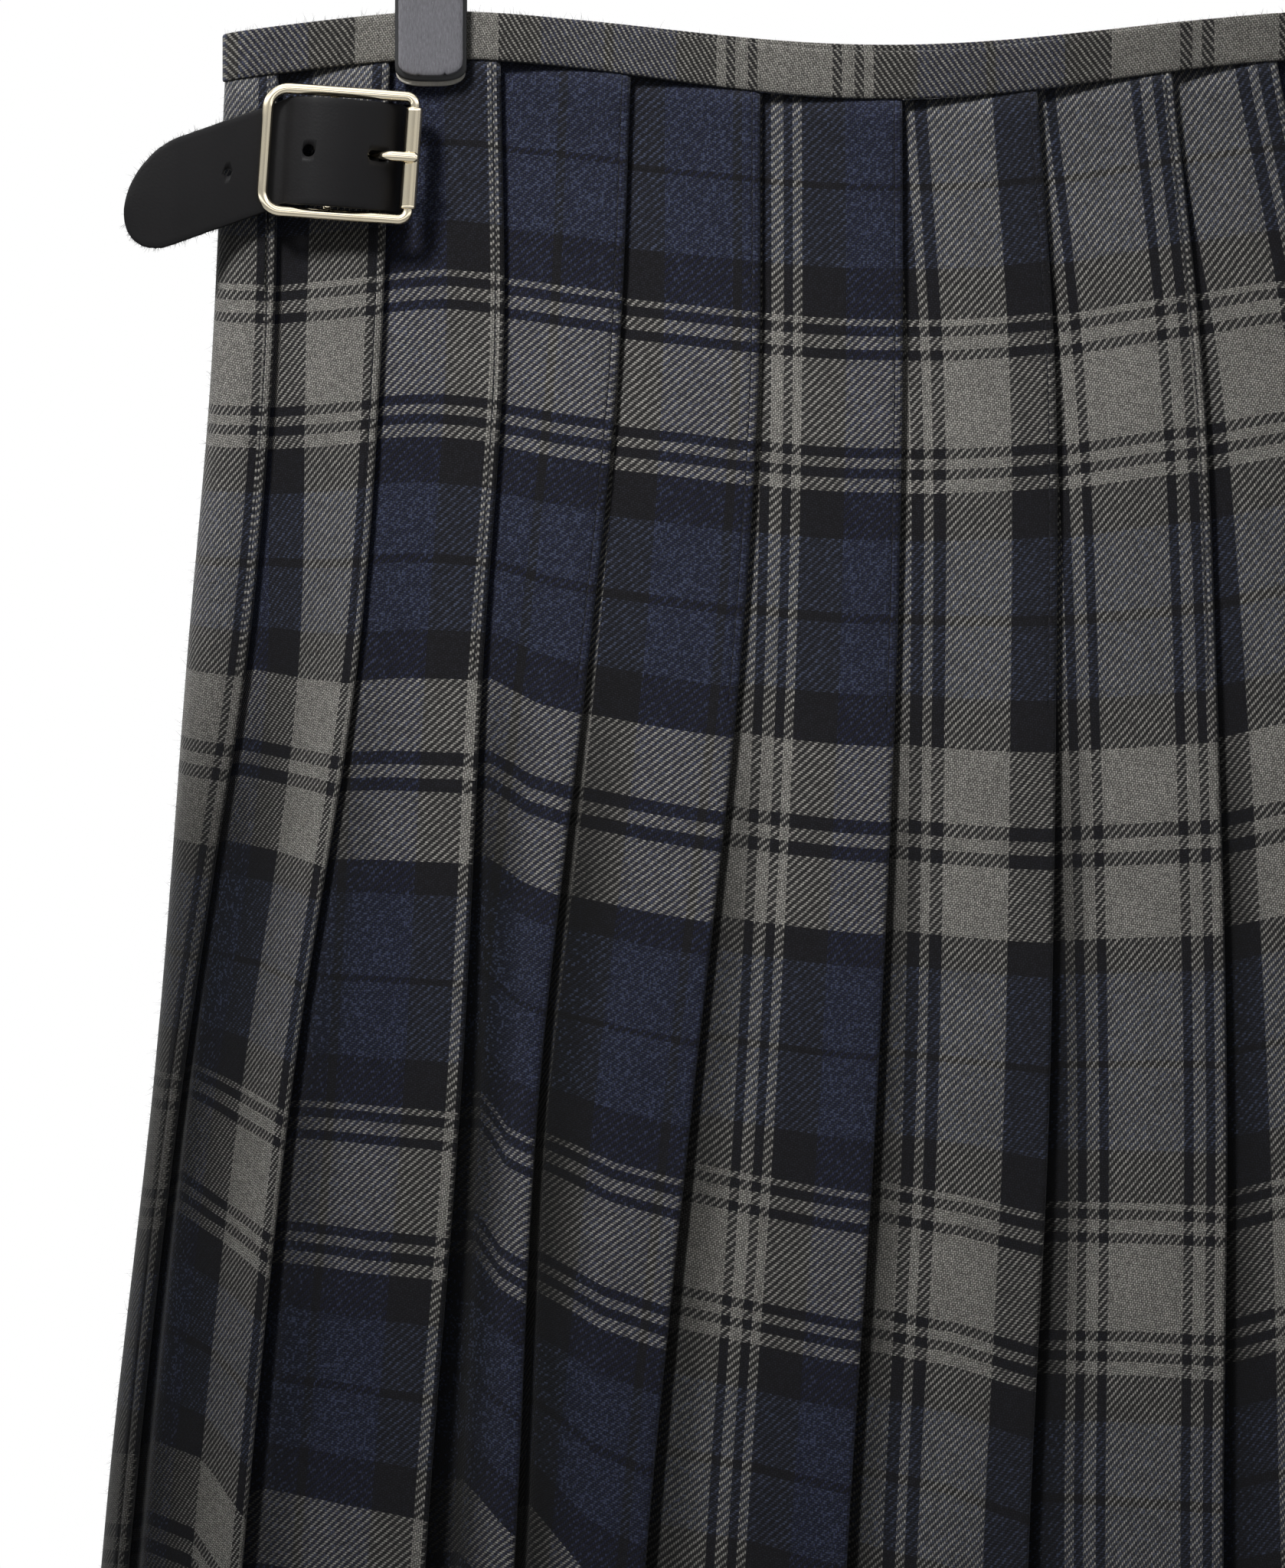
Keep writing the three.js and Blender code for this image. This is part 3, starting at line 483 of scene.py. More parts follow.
def plasticMaterial(name, light, dark, roughness):
    material, tree, shader = newMaterial(name, roughness=roughness)
    place = node(tree, "ShaderNodeTexCoord").outputs["Object"]
    stretch = node(tree, "ShaderNodeMapping", {"Vector": place, "Scale": (3.0, 1.0, 0.6)})
    scuffs = node(tree, "ShaderNodeTexNoise",
                  {"Vector": stretch.outputs[0], "Scale": 900.0, "Detail": 4.0, "Roughness": 0.7})
    specks = node(tree, "ShaderNodeTexVoronoi", {"Vector": place, "Scale": 700.0})
    spot = maths(tree, "LESS_THAN", specks.outputs[0], 0.1)
    clear = maths(tree, "MULTIPLY_ADD", scuffs.outputs[0], 2.4, -0.75, clamp=True)
    share = maths(tree, "ADD", maths(tree, "MULTIPLY", clear, 0.8), maths(tree, "MULTIPLY", spot, 0.4), clamp=True)
    finishShader(tree, shader, mixColour(tree, share, dark, light), scuffs.outputs[0], 0.15)
    return material


def threadMaterial(name, light, dark):
    material, tree, shader = newMaterial(name, roughness=0.85, **{"Specular IOR Level": 0.25})
    place = node(tree, "ShaderNodeTexCoord").outputs["Object"]
    strands = node(tree, "ShaderNodeTexNoise", {"Vector": place, "Scale": 2500.0, "Detail": 2.0})
    finishShader(tree, shader, mixColour(tree, strands.outputs[0], dark, light), strands.outputs[0], 0.4)
    return material


leather = leatherMaterial()
hair = threadMaterial("woolHair", srgb(120, 118, 116), srgb(70, 70, 76))
thread = threadMaterial("darkThread", srgb(44, 44, 50), srgb(20, 20, 24))
paleBrass = metalMaterial("paleBrass", srgb(246, 235, 212), srgb(236, 220, 188), 0.13)
paleLip = plasticMaterial("paleLip", srgb(205, 201, 192), srgb(180, 176, 168), 0.45)
steel = metalMaterial("brightSteel", srgb(205, 205, 206), srgb(180, 181, 184), 0.25)
greyPlastic = plasticMaterial("greyPlastic", srgb(142, 141, 147), srgb(96, 95, 100), 0.6)
blackPlastic = plasticMaterial("blackPlastic", srgb(26, 26, 28), srgb(16, 16, 18), 0.6)
print("materials made")

# Cloth.

pleats = {
    "wall": 1.1,
    "crease": 0.85,  # radius of a pressed crease
    "valleyTop": 3,
    "tuckEase": 0.5,
    "openSpread": 5,
    "overlap": 3,
    "gap": 0.3,
    "faceStop": 2.6, "faceBow": 1.6,  # where a face's soft bow ends before its fold, and its depth
    "grooveEdges": (2.3, 1.2),
    "stitchedTo": 165, "stitchIn": 1.75, "groove": 0.3, "stitchPitch": 2.6, "stitchLength": 1.9, "thread": 0.17,
    "seam": [-166.3, -136, -106, -70.6, -35.4, 3.1, 39.8, 76.5, 105, 134, 160],
    "hip": [-167.7, -138.3, -105.2, -74, -36, 3.1, 44.6, 84.4, 119, 150, 170],
    "stitch": [-174.8, -144.4, -110.6, -82.5, -41.7, 1, 44.6, 88.1, 126, 157, 177],
    "mid": [-193.5, -161.9, -116.3, -95.4, -54.4, -4.6, 42.5, 90.6, 132, 168, 189],
    "low": [-206, -174.4, -125.4, -101.5, -66.5, -12.5, 36.7, 89.4, 135, 176, 202],
    "hem": [-224, -192, -139, -114, -82, -22, 33, 92, 143, 190, 219],
    "valley": [6, 7, 14, 5, 5, 5, 5, 6, 8, 6, 4],
    "tuck": [0.25] + [0.68] * 9 + [0.6],
    "open": [0.4] + [1] * 9 + [0.6],
    # the place in the sett at each fold, in sett steps, and the sett steps that one step of cloth shows
    "tip": [183, 628, 1060, 1486, 1962, 2420, 2878, 3335, 3787, 4237, 4688],
    "shownTop": [1.15, 1.15, 1, 1, 1, 1, 1, 1, 1, 1, 1],
    "shownLow": [1.3, 1.75, 1, 1, 1, 1, 1, 1, 1, 1, 1],
    # painted shade: how dark each face is painted beside the last fold, where that fold's shadow falls,
    # and over what share of its width that fades; the first value darkens the first face, turned from the light
    "paintedShade": [0.8, 1, 0.7, 1, 0.95, 0.8, 0.8, 0.8, 0.8, 0.8, 0.8],
    "fade": [1, 0.85, 0.4, 0.8, 0.5, 0.3, 0.25, 0.25, 0.25, 0.25, 0.25],
    "apronSett": [-11, 4987],
}
rowDepths = np.concatenate([[0.05], np.linspace(7, 620, 84), [627]])


# The panel's middle line at one depth as columns of distance, distance inwards and a mark: 1 where
# a pleat's face starts and 2 where it turns back at its fold. Each face comes forward from the
# valley beside the last fold, turns back at its own fold, and turns forward at its hidden crease.
def pleatLine(outline):
    depth, crease = outline.depth, pleats["crease"]
    opened = levelValue("opened", depth)
    end = outline.end - pleats["overlap"]
    columns = ["seam", "hip", "stitch", "mid", "low", "hem"]
    places = [float(outline.nearDistance(throughLevels([pleats[c][k] for c in columns], depth)))
              for k in range(len(pleats["seam"]))]
    line = [(s, 0, 0) for s in np.linspace(-end, places[0] - 2 * crease, 16)]
    faceStart, startInwards = -outline.capMiddle, 0.0
    for k, place in enumerate(places):
        spread = pleats["openSpread"] * opened * pleats["open"][k]
        valley = pleats["valleyTop"] + (pleats["valley"][k] - pleats["valleyTop"]) * opened
        before = places[k - 1] if k else -outline.capMiddle
        tuck = min(pleats["tuck"][k] * (place - before), place - faceStart - 1.5)
        inner = place - tuck
        back = startInwards * tuck / (place - faceStart) + 2 * crease + spread + pleats["tuckEase"]
        if k:
            for t in np.linspace(0, 1, 9)[1:-1]:
                bow = pleats["faceBow"] * t * (1 - t)
                line.append((faceStart + (place - pleats["faceStop"] - faceStart) * t, startInwards * (1 - t) - bow, 0))
        groove = pleats["groove"] * (depth < pleats["stitchedTo"])
        first, last = pleats["grooveEdges"]
        line += [(place - first, 0, 0), (place - pleats["stitchIn"], groove, 0), (place - last, 0, 0)]
        for angle in np.radians([-90, -45, 0, 45, 90]):
            mark = 2 if abs(angle) < 0.01 else 0
            line.append((place - crease + crease * cos(angle), crease + crease * sin(angle), mark))
        for angle in np.radians([-90, -45, 0, 45, 90]):
            line.append((inner + crease - crease * cos(angle), back + crease + crease * sin(angle), 0))
        low = (place + 0.35 * valley, 4 * crease + spread + 0.5 * (valley - pleats["valleyTop"]))
        line.append(((inner + crease + low[0]) / 2, (back + 2 * crease + low[1]) / 2, 0))
        line.append((*low, 0))
        faceStart, startInwards = place + valley, 3.4 * crease + 0.4 * spread
        line.append((faceStart, startInwards, 1))
    for t in np.linspace(0, 1, 12)[1:]:
        line.append((faceStart + (end - faceStart) * t, startInwards * max(0, 1 - 3 * t), 0))
    return np.array(line)


# One round of corner cutting: every edge keeps its quarter points.
def cutCorners(line):
    a, b = line[:-1], line[1:]
    body = np.stack([0.75 * a + 0.25 * b, 0.25 * a + 0.75 * b], 1).reshape(-1, line.shape[1])
    return np.vstack([line[:1], body, line[-1:]])


# How far the cloth's rows ride up, in millimetres, at depths below the waistband: near the left
# side, in the middle and near the right side of each pleat's face.
rowRise = {
    "depth": [30, 120, 165, 255, 300, 345, 390],
    "side": [0.12, 0.5, 0.88],
    "pleats": [
        [[3, 6, 12.5, 19, 22, 25, 30], [1.5, 4.5, 10.5, 17.5, 21, 24, 30], [0, 3.5, 8.5, 16, 21, 24, 30]],
        [[0, 2.5, 9.5, 16, 24, 28, 33], [0, 2, 6.5, 13, 16, 21, 29], [0, 2.5, 5, 7, 9.5, 11, 15]],
        [[0.5, 3.5, 5.5, 8, 10.5, 12.5, 18.5], [1.5, 3.5, 6, 7, 9, 10, 15.5], [1, 3, 6.5, 7.5, 9, 10, 14]],
        [[0, 1.5, 6, 10, 15, 17, 25], [0, 0.5, 2, 5, 7, 11, 20], [0, 0.5, 1, 3, 5, 8, 14.5]],
        [[-1, -0.5, 1, 2.5, 6, 9.5, 18.5], [-0.5, 0, 0.5, 1.5, 1.5, 3.5, 7], [0, 0, 0.5, 1, 0, 1, 3]],
        [[0, 0.5, 2, 3, 4.5, 6.5, 8.5], [0, 0.5, 1.5, 2.5, 3, 5, 7.5], [0, 0.5, 1, 1.5, 1, 2.5, 4]],
        [[0, 0, 1, 2, 3, 4.5, 8], [-0.5, -0.5, -1, -0.5, -0.5, 1, 3.5], [-0.5, -1.5, -3, -3.5, -6, -6, -5]],
        [[-1.5, -2.5, -4, -4.5, -5.5, -4.5, -2.5], [-1, -2.5, -5.5, -6.5, -8.5, -7.5, -6.5],
         [-0.5, -3, -6.5, -9, -12, -11.5, -11]],
        [[-0.5, -2.5, -5.5, -7, -8.5, -8, -6], [0, -1.5, -4, -6, -7, -6, -5], [0, -1, -3, -4, -5, -5, -4]],
    ],
}


# Cloth position along the middle line, in millimetres. Each visible face is pressed so that one place
# in the sett lies on its fold, and runs back from there; the hidden layers share what is left evenly.
# The rows' rise is read from the table, carried on to each face's two ends and shared in between.
def clothPosition(x, y, outline, distance):
    arc = np.concatenate([[0], np.cumsum(np.hypot(np.diff(x), np.diff(y)))])
    starts = [int(np.argmin(np.abs(distance[:60] + outline.capMiddle)))] + list(pleatMarks[0])
    knots, values, at, rise = [], [], [], []
    low = smooth((outline.depth - 60) / 200)
    shown = (1 - low) * np.array(pleats["shownTop"]) + low * np.array(pleats["shownLow"])
    for k, tip in enumerate(pleatMarks[1]):
        run = arc[tip] - arc[starts[k]]
        knots += [starts[k], tip]
        values += [pleats["tip"][k] * settStep - run * shown[k], pleats["tip"][k] * settStep]
        if k < len(rowRise["pleats"]):
            left, mid, right = [float(np.interp(outline.depth, [0] + rowRise["depth"], [0] + side))
                              for side in rowRise["pleats"][k]]
            at += [arc[starts[k]] + run * t for t in (0, 0.12, 0.5, 0.88, 1)]
            rise += [left + (left - mid) * 0.3, left, mid, right, right + (right - mid) * 0.3]
    first, last = arc[knots[0]], arc[starts[-1]]
    end = values[-1] + arc[starts[-1]] - arc[pleatMarks[1][-1]]
    places = np.concatenate([[0], arc[knots], [last, arc[-1]]])
    values = np.concatenate([[values[0] - first], values, [end, end + arc[-1] - last]])
    return np.interp(arc, places, values), np.interp(arc, at + [last], rise + [0])


# Points on both sides of a middle line, out to the front and back along the inside.
def wallSides(x, y, outside, inside):
    heading = np.stack([np.diff(x), np.diff(y)], 1)
    heading /= np.linalg.norm(heading, axis=1)[:, None]
    before, after = np.vstack([heading[:1], heading]), np.vstack([heading, heading[-1:]])
    along = before + after
    along /= np.linalg.norm(along, axis=1)[:, None]
    mitre = np.maximum((along * after).sum(1), 0.5)
    nx, ny = along[:, 1] / mitre, -along[:, 0] / mitre
    return (np.concatenate([x + nx * outside, (x - nx * inside)[::-1]]),
            np.concatenate([y + ny * outside, (y - ny * inside)[::-1]]))


# Single soft creases, given one by one: x at the top, top and bottom depth, drift in x down the crease, half
# width, and depth inwards (ridges are negative). The near ones first, then the far side's.
creases = {
    "near": [(-173, 130, 400, -26, 7, 1.1), (-146, 170, 420, -30, 6, -0.8), (-136, 70, 360, -16, 10, -2),
             (-94, 110, 460, -22, 6, 1.6), (-66, 190, 430, -20, 9, -1.0), (-44, 250, 500, -16, 6, 1.0),
             (-16, 170, 470, -14, 9, 0.9), (22, 210, 520, -6, 8, -0.9), (57, 150, 430, 4, 9, 1.0),
             (98, 140, 480, 10, 10, -0.8), (128, 200, 560, 14, 8, 1.1)],
    "far": [(-140, 120, 480, -18, 12, 1.6), (-96, 60, 330, -10, 9, -1.2), (-52, 180, 600, -12, 13, 1.7),
            (-8, 90, 420, 4, 10, 1.2), (34, 220, 620, 8, 12, -1.5), (64, 70, 300, 8, 8, 1.1), (112, 40, 260, 6, 9, 1.0),
            (128, 260, 600, 16, 12, 1.6)],
}


# Soft troughs and ridges over the whole tube, the same for every layer at a place: low waves that
# grow towards the hem, and the creases above, each a smooth bump across and a longer one down.
def relief(outline, distance):
    x, y = outline.place(distance)
    depth = outline.depth
    broad = 0.8 * np.sin(distance / 31 + depth / 190)
    fine = 0.6 * np.sin(distance / 17 - depth / 120 + 1.3)
    total = 0.3 * np.sin(distance / 23 + depth / 60) * smooth(depth / 60) + smooth(depth / 400) * (broad + fine)
    for side, rows in creases.items():
        for at, top, bottom, drift, half, deep in rows:
            down = (depth - top) / (bottom - top)
            if 0 < down < 1:
                across = (x - at - drift * down) / (half * (0.6 + 0.8 * down))
                total = total + deep * sin(pi * down) ** 2 * np.exp(-across ** 2) * ((y < 0) == (side == "near"))
    return total


# How dark the cloth is painted beside a fold, as painted shade for the fold's shadow: full in the valley,
# then fading over a share of the next face, and only where the pleats are open. The first face is painted
# darker too, as shade for its turning away from the light.
def paintedValleyShade(line, depth):
    paintedShade = 0 * line[:, 1]
    if len(line) > 300:
        starts, tips = pleatMarks
        inFirst = smooth(2 - (line[tips[0], 0] - line[:tips[0], 0]) / 12)
        paintedShade[:tips[0]] = pleats["paintedShade"][0] * inFirst
        for k, start in enumerate(starts[:-1]):
            tip = tips[k + 1]
            t = (line[tips[k]:tip, 0] - line[start, 0]) / (line[tip, 0] - line[start, 0])
            paintedShade[tips[k]:tip] = pleats["paintedShade"][k + 1] * (1 - smooth(np.maximum(t, 0) / pleats["fade"][k + 1]))
    return paintedShade * smooth((depth - 125) / 110)


def clothPiece(name, lineFor, material, positionFor):
    half = pleats["wall"] / 2
    points, maps, paintedShades = [], [], []
    for depth in rowDepths:
        outline = Outline(depth)
        line = cutCorners(lineFor(outline))
        distance = line[:, 0]
        inwards = line[:, 1] + relief(outline, distance)
        x, y = outline.point(distance, inwards)
        u, rise = positionFor(x, y, outline, distance)
        px, py = wallSides(x, y, half, half)
        points.append(np.stack([px, py, heightAt(px, py, depth)], 1))
        maps.append(np.stack([np.concatenate([u, u[::-1]]), np.concatenate([rise, rise[::-1]])], 1))
        # painted shade beside the folds, stored as the valley attribute
        paintedShade = paintedValleyShade(line, depth)
        paintedShades.append(np.concatenate([paintedShade, paintedShade[::-1]]))
    points, maps = np.array(points), np.array(maps)
    faces = outwards(points, loopQuads(len(rowDepths), points.shape[1], wall=True))
    depths = np.broadcast_to(rowDepths[:, None], maps.shape[:2])
    uv = {"weaveMap": np.stack([maps[..., 0], depths], -1),
          "clothMap": np.stack([maps[..., 0], depths + maps[..., 1]], -1)}
    piece = makeMesh(name, points, faces, slot="wool_tartan", uv=uv, material=material)
    valley = piece.data.attributes.new("valley", "FLOAT", "POINT")
    valley.data.foreach_set("value", np.ravel(paintedShades).astype(np.float32))
    return piece


marks = pleatLine(Outline(300.0))[:, 2]
pleatMarks = (2 * np.flatnonzero(marks == 1), 2 * np.flatnonzero(marks == 2))
panel = clothPiece("pleated_panel_cloth", pleatLine, tartan, clothPosition)
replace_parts(panel, "pleated_panel")


# The thread of the edge stitching: short rounded stitches laid in the groove beside each fold.
def edgeStitching():
    half = pleats["stitchLength"] / 2
    along = np.array([-half, -0.8 * half, 0, 0.8 * half, half])
    angle = 2 * pi * np.arange(5) / 5
    thick = pleats["thread"] * np.array([0.35, 1, 1.1, 1, 0.35])
    stitch = np.stack([np.outer(thick, np.cos(angle)), np.outer(thick, np.sin(angle)) - 0.1,
                       np.repeat(along[:, None], 5, 1)], -1).reshape(-1, 3)
    stitchFaces = outwards(stitch, loopQuads(5, 5))
    parts = []
    for depth in np.arange(2.5, pleats["stitchedTo"], pleats["stitchPitch"]):
        outline, nextOne = Outline(depth), Outline(depth + 1)
        lines = pleatLine(outline), pleatLine(nextOne)
        tips, after = [line[line[:, 2] == 2, 0] - pleats["stitchIn"] for line in lines]
        sunk = -pleats["wall"] / 2 + pleats["groove"] - 0.05
        x, y = outline.point(tips, sunk + relief(outline, tips))
        nx, ny = nextOne.point(after, sunk + relief(nextOne, after))
        z = heightAt(x, y, depth)
        lean = np.stack([nx - x, ny - y, heightAt(nx, ny, depth + 1) - z], 1)
        lean /= np.linalg.norm(lean, axis=1)[:, None]
        for place, down in zip(np.stack([x, y, z], 1), lean):
            across = np.cross(down, [0, 1, 0])
            across /= np.linalg.norm(across)
            parts.append((stitch @ np.stack([across, [0, 1, 0], down]) + place, stitchFaces))
    points, faces = together(parts)
    faces = outwards(points, faces)
    return makeMesh("edge_stitching", points, faces, slot="wool_tartan", material=thread)


edgeStitching()

aprons = {"lapTop": 3.4, "lapHem": 5, "overEdge": 88, "underEdge": -150}


def overLine(outline, start=None, count=60):
    edge = outline.farDistance(aprons["overEdge"] * levelValue("halfWidth", max(outline.depth, 0)) / 180, -1)
    start = -(outline.end - pleats["overlap"] + pleats["gap"]) if start is None else start
    s = np.linspace(edge, start, count)
    return np.stack([s, 0 * s, 0 * s], 1)


# The under layer lies behind the over apron, and level with it beyond that apron's free edge.
def underLine(outline, start=None, count=80):
    halfWidth = levelValue("halfWidth", max(outline.depth, 0))
    edge = outline.farDistance(aprons["underEdge"] * halfWidth / 180, 1)
    start = outline.end - pleats["overlap"] + pleats["gap"] if start is None else start
    s = np.linspace(start, edge, count)
    x, _ = outline.point(s, 0)
    lap = aprons["lapTop"] + (aprons["lapHem"] - aprons["lapTop"]) * max(outline.depth, 0) / tube["length"]
    return np.stack([s, lap * smooth((aprons["overEdge"] + 14 - x * 180 / halfWidth) / 11), 0 * s], 1)


def overPosition(x, y, outline, distance):
    return pleats["apronSett"][0] * settStep + distance + outline.capMiddle, 0 * x


def underPosition(x, y, outline, distance):
    return pleats["apronSett"][1] * settStep + distance - outline.capMiddle, 0 * x


overApron = clothPiece("over_apron_cloth", overLine, tartan, overPosition)
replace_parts(overApron, "over_apron")
underApron = clothPiece("under_apron_cloth", underLine, tartan, underPosition)
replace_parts(underApron, "under_apron")

band = {"height": 13, "outside": 1.2, "inside": 1.8, "round": 0.6,
        "placeX": [-179.6, -145.4, -106.3, -46.7, 59.8, 105.8, 180],
        "sett": [347, 511, 732, 1043, 1554, 1775, 2131]}


# One strip from the over apron's edge round the pleats to the under apron's edge, with its top and
# bottom edges rounded over.
def waistband():
    outline = Outline(0.0)
    end = outline.end
    over, under = overLine(outline, -end, 70), underLine(outline, end, 90)
    front = np.linspace(-end, end, 300)[1:-1]
    line = np.vstack([over, np.stack([front, 0 * front, 0 * front], 1), under])
    x, y = outline.point(line[:, 0], line[:, 1])
    setts = np.interp(x, band["placeX"], band["sett"]) * settStep
    rim, points, maps = band["round"], [], []
    across = [(0, rim), (0.3 * rim, 0.3 * rim), (rim, 0)]
    levels = [(h, cut) for h, cut in across] + [(h, 0) for h in np.linspace(rim, band["height"] - rim, 7)[1:-1]] \
        + [(band["height"] - h, cut) for h, cut in across[::-1]]
    for h, cut in levels:
        px, py = wallSides(x, y, band["outside"] - cut, band["inside"] - cut)
        points.append(np.stack([px, py, heightAt(px, py, 0.0) + h], 1))
        maps.append(np.stack([np.concatenate([setts, setts[::-1]]), np.full(2 * len(x), h)], 1))
    points = np.array(points)
    faces = outwards(points, loopQuads(len(levels), points.shape[1], wall=True))
    return makeMesh("waistband_cloth", points, faces, slot="wool_band",
                    uv={"weaveMap": np.array(maps), "clothMap": np.array(maps)}, material=bandTartan)


waistbandCloth = waistband()
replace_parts(waistbandCloth, "waistband")


hairCount = {"depths": 900, "band": 700, "strap": 420}


# Wool hairs that stand off the cloth at its two sides, at the folds and along the waistband's top.
def clothHairs():
    base, outward = [], []
    for depth in rng.uniform(3, 620, hairCount["depths"]):
        outline = Outline(depth)
        line = pleatLine(outline)
        tips = line[line[:, 2] == 2, 0]
        for distance in (-outline.capMiddle * rng.uniform(0.985, 1.005), outline.capMiddle * rng.uniform(0.985, 1.005),
                         rng.choice(tips)):
            x, y = outline.point(distance, -pleats["wall"] / 2 + float(relief(outline, np.array([distance]))[0]))
            bx, by = outline.point(distance, -3.0)
            out = np.array([bx - x, by - y, 0])
            base.append((x, y, heightAt(x, y, depth)))
            outward.append(out / np.linalg.norm(out))
    outline = Outline(0.0)
    for distance in rng.uniform(-outline.end, outline.end, hairCount["band"]):
        x, y = outline.point(distance, rng.uniform(-1, 1.4))
        base.append((x, y, heightAt(x, y, 0.0) + band["height"] - 0.1))
        outward.append((0, 0, 1))
    return np.array(base, float), np.array(outward, float)


fibres("wool_hairs", *clothHairs(), 1.3, 0.04, hair, "wool_tartan")
print("cloth made")

# Strap fastenings, laid out along x with z up and -y away from the cloth.

strap = {
    "width": 29.5, "wall": 2.2, "droop": 0.44, "droopStart": 13.5, "edge": 0.45,
    "over": [(16, 1.2), (14.8, 3.6), (12, 5.9), (8, 7.8), (3, 9.3), (-2, 9.7), (-7, 9), (-11.5, 6.7), (-15, 4.4),
             (-20, 3.7), (-26, 4.1), (-34, 4.8), (-43.4, 5.2)],
    "slitRoot": [(20, -6.4), (18.2, -6.2), (17, -5), (16.5, -2)],
    "apronRoot": [(46, 1.4), (36, 1.4), (24, 1.4), (19, 1.8)],
    "tipStart": -43.4, "tip": 13.5,
    "near": -149.4, "far": 125, "height": -144.5,  # where the two buckles sit
    "farRoot": 79, "farTail": 146.35, "below": 26.5,
    "slot": (10.9, 1.5, 1.3),  # the prong's slot: its place, its radius and half its extra length
    "holes": [(-7.9, 1.7), (-29.6, 1.1)],
    "slit": ((14.5, -5.5, -15.55), (18.7, 8.5, 15.55)),  # two corners of the slit through the panel
}
buckle = {"length": 42.7, "height": 36.5, "leftCorner": 5.5, "rollerCorner": 2.5, "wire": 1.5, "bar": 1.3,
          "roller": 2.3, "prong": 1, "shoulder": 1.5, "plane": 7, "barAlong": -2, "barOff": 4.8,
          "barHalf": 16.7}


def strapGround(x, edge=0):
    return halfThickness(x, strap["below"] + edge * strap["width"] / 2) + pleats["wall"] / 2 + pleats["gap"]


def turnAbout(rx, ry, rz):
    cx, sx, cy, sy, cz, sz = cos(rx), sin(rx), cos(ry), sin(ry), cos(rz), sin(rz)
    return (np.array([[1, 0, 0], [0, cx, -sx], [0, sx, cx]]) @ np.array([[cy, 0, sy], [0, 1, 0], [-sy, 0, cy]])
            @ np.array([[cz, -sz, 0], [sz, cz, 0], [0, 0, 1]]))


def placements():
    at, height = strap["near"], strap["height"]
    lean = np.arctan2(strapGround(at, 1) - strapGround(at, -1), strap["width"])
    near = (turnAbout(-lean, 0.07, 0), np.array([at, -strapGround(at), height]))
    rootX, tailX = strap["farRoot"], strap["farTail"]
    fall = (strapGround(rootX, 1) - strapGround(tailX, 1)) / (tailX - rootX)
    far = (turnAbout(lean, 0, pi - np.arctan(fall)),
           np.array([strap["far"], strapGround(tailX) + fall * (tailX - strap["far"]) + 0.3, height]))
    return {"near": near, "far": far}


def tailDroop(along):
    return -strap["droop"] * np.maximum(0, -strap["droopStart"] - np.asarray(along, float))


# The strap's rounded section carried along its path: flat faces, rounded edges, an elliptic tip.
def strapShape(root):
    path = throughPoints(root + strap["over"], 7)
    along, off = path[:, 0], path[:, 1]
    tipT = np.sin(np.linspace(0, pi / 2, 25))[1:-1]
    start = strap["tipStart"]
    along = np.concatenate([along, start - strap["tip"] * tipT, [start - strap["tip"] * 0.9995]])
    off = np.concatenate([off, np.full(len(tipT) + 1, off[-1])])
    heading = np.stack([np.gradient(along), np.gradient(off)], 1)
    heading /= np.linalg.norm(heading, axis=1)[:, None]
    half, edge = strap["wall"] / 2, strap["edge"]
    over = np.maximum(0, start - along) / strap["tip"]
    halfWidth = strap["width"] / 2 * np.sqrt(np.maximum(1 - over ** 2, 0.0008))
    rim = np.minimum(edge, halfWidth * 0.6)
    corner = np.linspace(0, pi / 2, 4)
    loop = []
    for side, turn in ((1, 1), (1, -1), (-1, -1), (-1, 1)):
        for a in (corner if (side * turn) > 0 else corner[::-1]):
            loop.append((side * half - side * edge * (1 - sin(a)), turn, cos(a)))
    spread = np.linspace(-0.9, 0.9, 9)
    points = []
    droop = tailDroop(along)
    rows = []
    for out, part, across in ((half, loop[:8], spread[::-1]), (-half, loop[8:], spread)):
        edges = [(*place, 0) for place in part]
        rows += edges[:4] + [(out, w, 0, 1) for w in across] + edges[4:]
    fray = rng.normal(0, 0.05, (len(along), 2))
    for out, turn, reach, flat in rows:
        z = np.where(flat, turn * (halfWidth - rim), turn * (halfWidth - rim) + turn * rim * reach)
        if not flat and reach > 0.5:
            z = z + fray[:, 0 if turn > 0 else 1]
        crown = 0.35 * (1 - (z / np.maximum(halfWidth, 0.5)) ** 2)
        px = along - heading[:, 1] * out
        py = off + heading[:, 0] * out
        points.append(np.stack([px, -(py + crown), droop + z], 1))
    points = np.array(points).transpose(1, 0, 2)
    return points.reshape(-1, 3), outwards(points, loopQuads(len(along), points.shape[1]))


def cylinderAt(radius, x, y, z, depth, sides=28):
    return wireAlong([(x, y - depth / 2, z), (x, y + depth / 2, z)], radius, sides)


# Cuts closed shapes out of a piece and keeps the result as its mesh.
def cutOut(piece, shapes):
    points, faces = together(shapes)
    tool = makeMesh("cutter", points, faces)
    cutter = piece.modifiers.new("holes", "BOOLEAN")
    cutter.object, cutter.solver, cutter.operation = tool, "EXACT", "DIFFERENCE"
    cut = bpy.data.meshes.new_from_object(piece.evaluated_get(bpy.context.evaluated_depsgraph_get()))
    piece.modifiers.remove(cutter)
    old = piece.data
    piece.data = cut
    bpy.data.meshes.remove(old)
    bpy.data.objects.remove(tool)


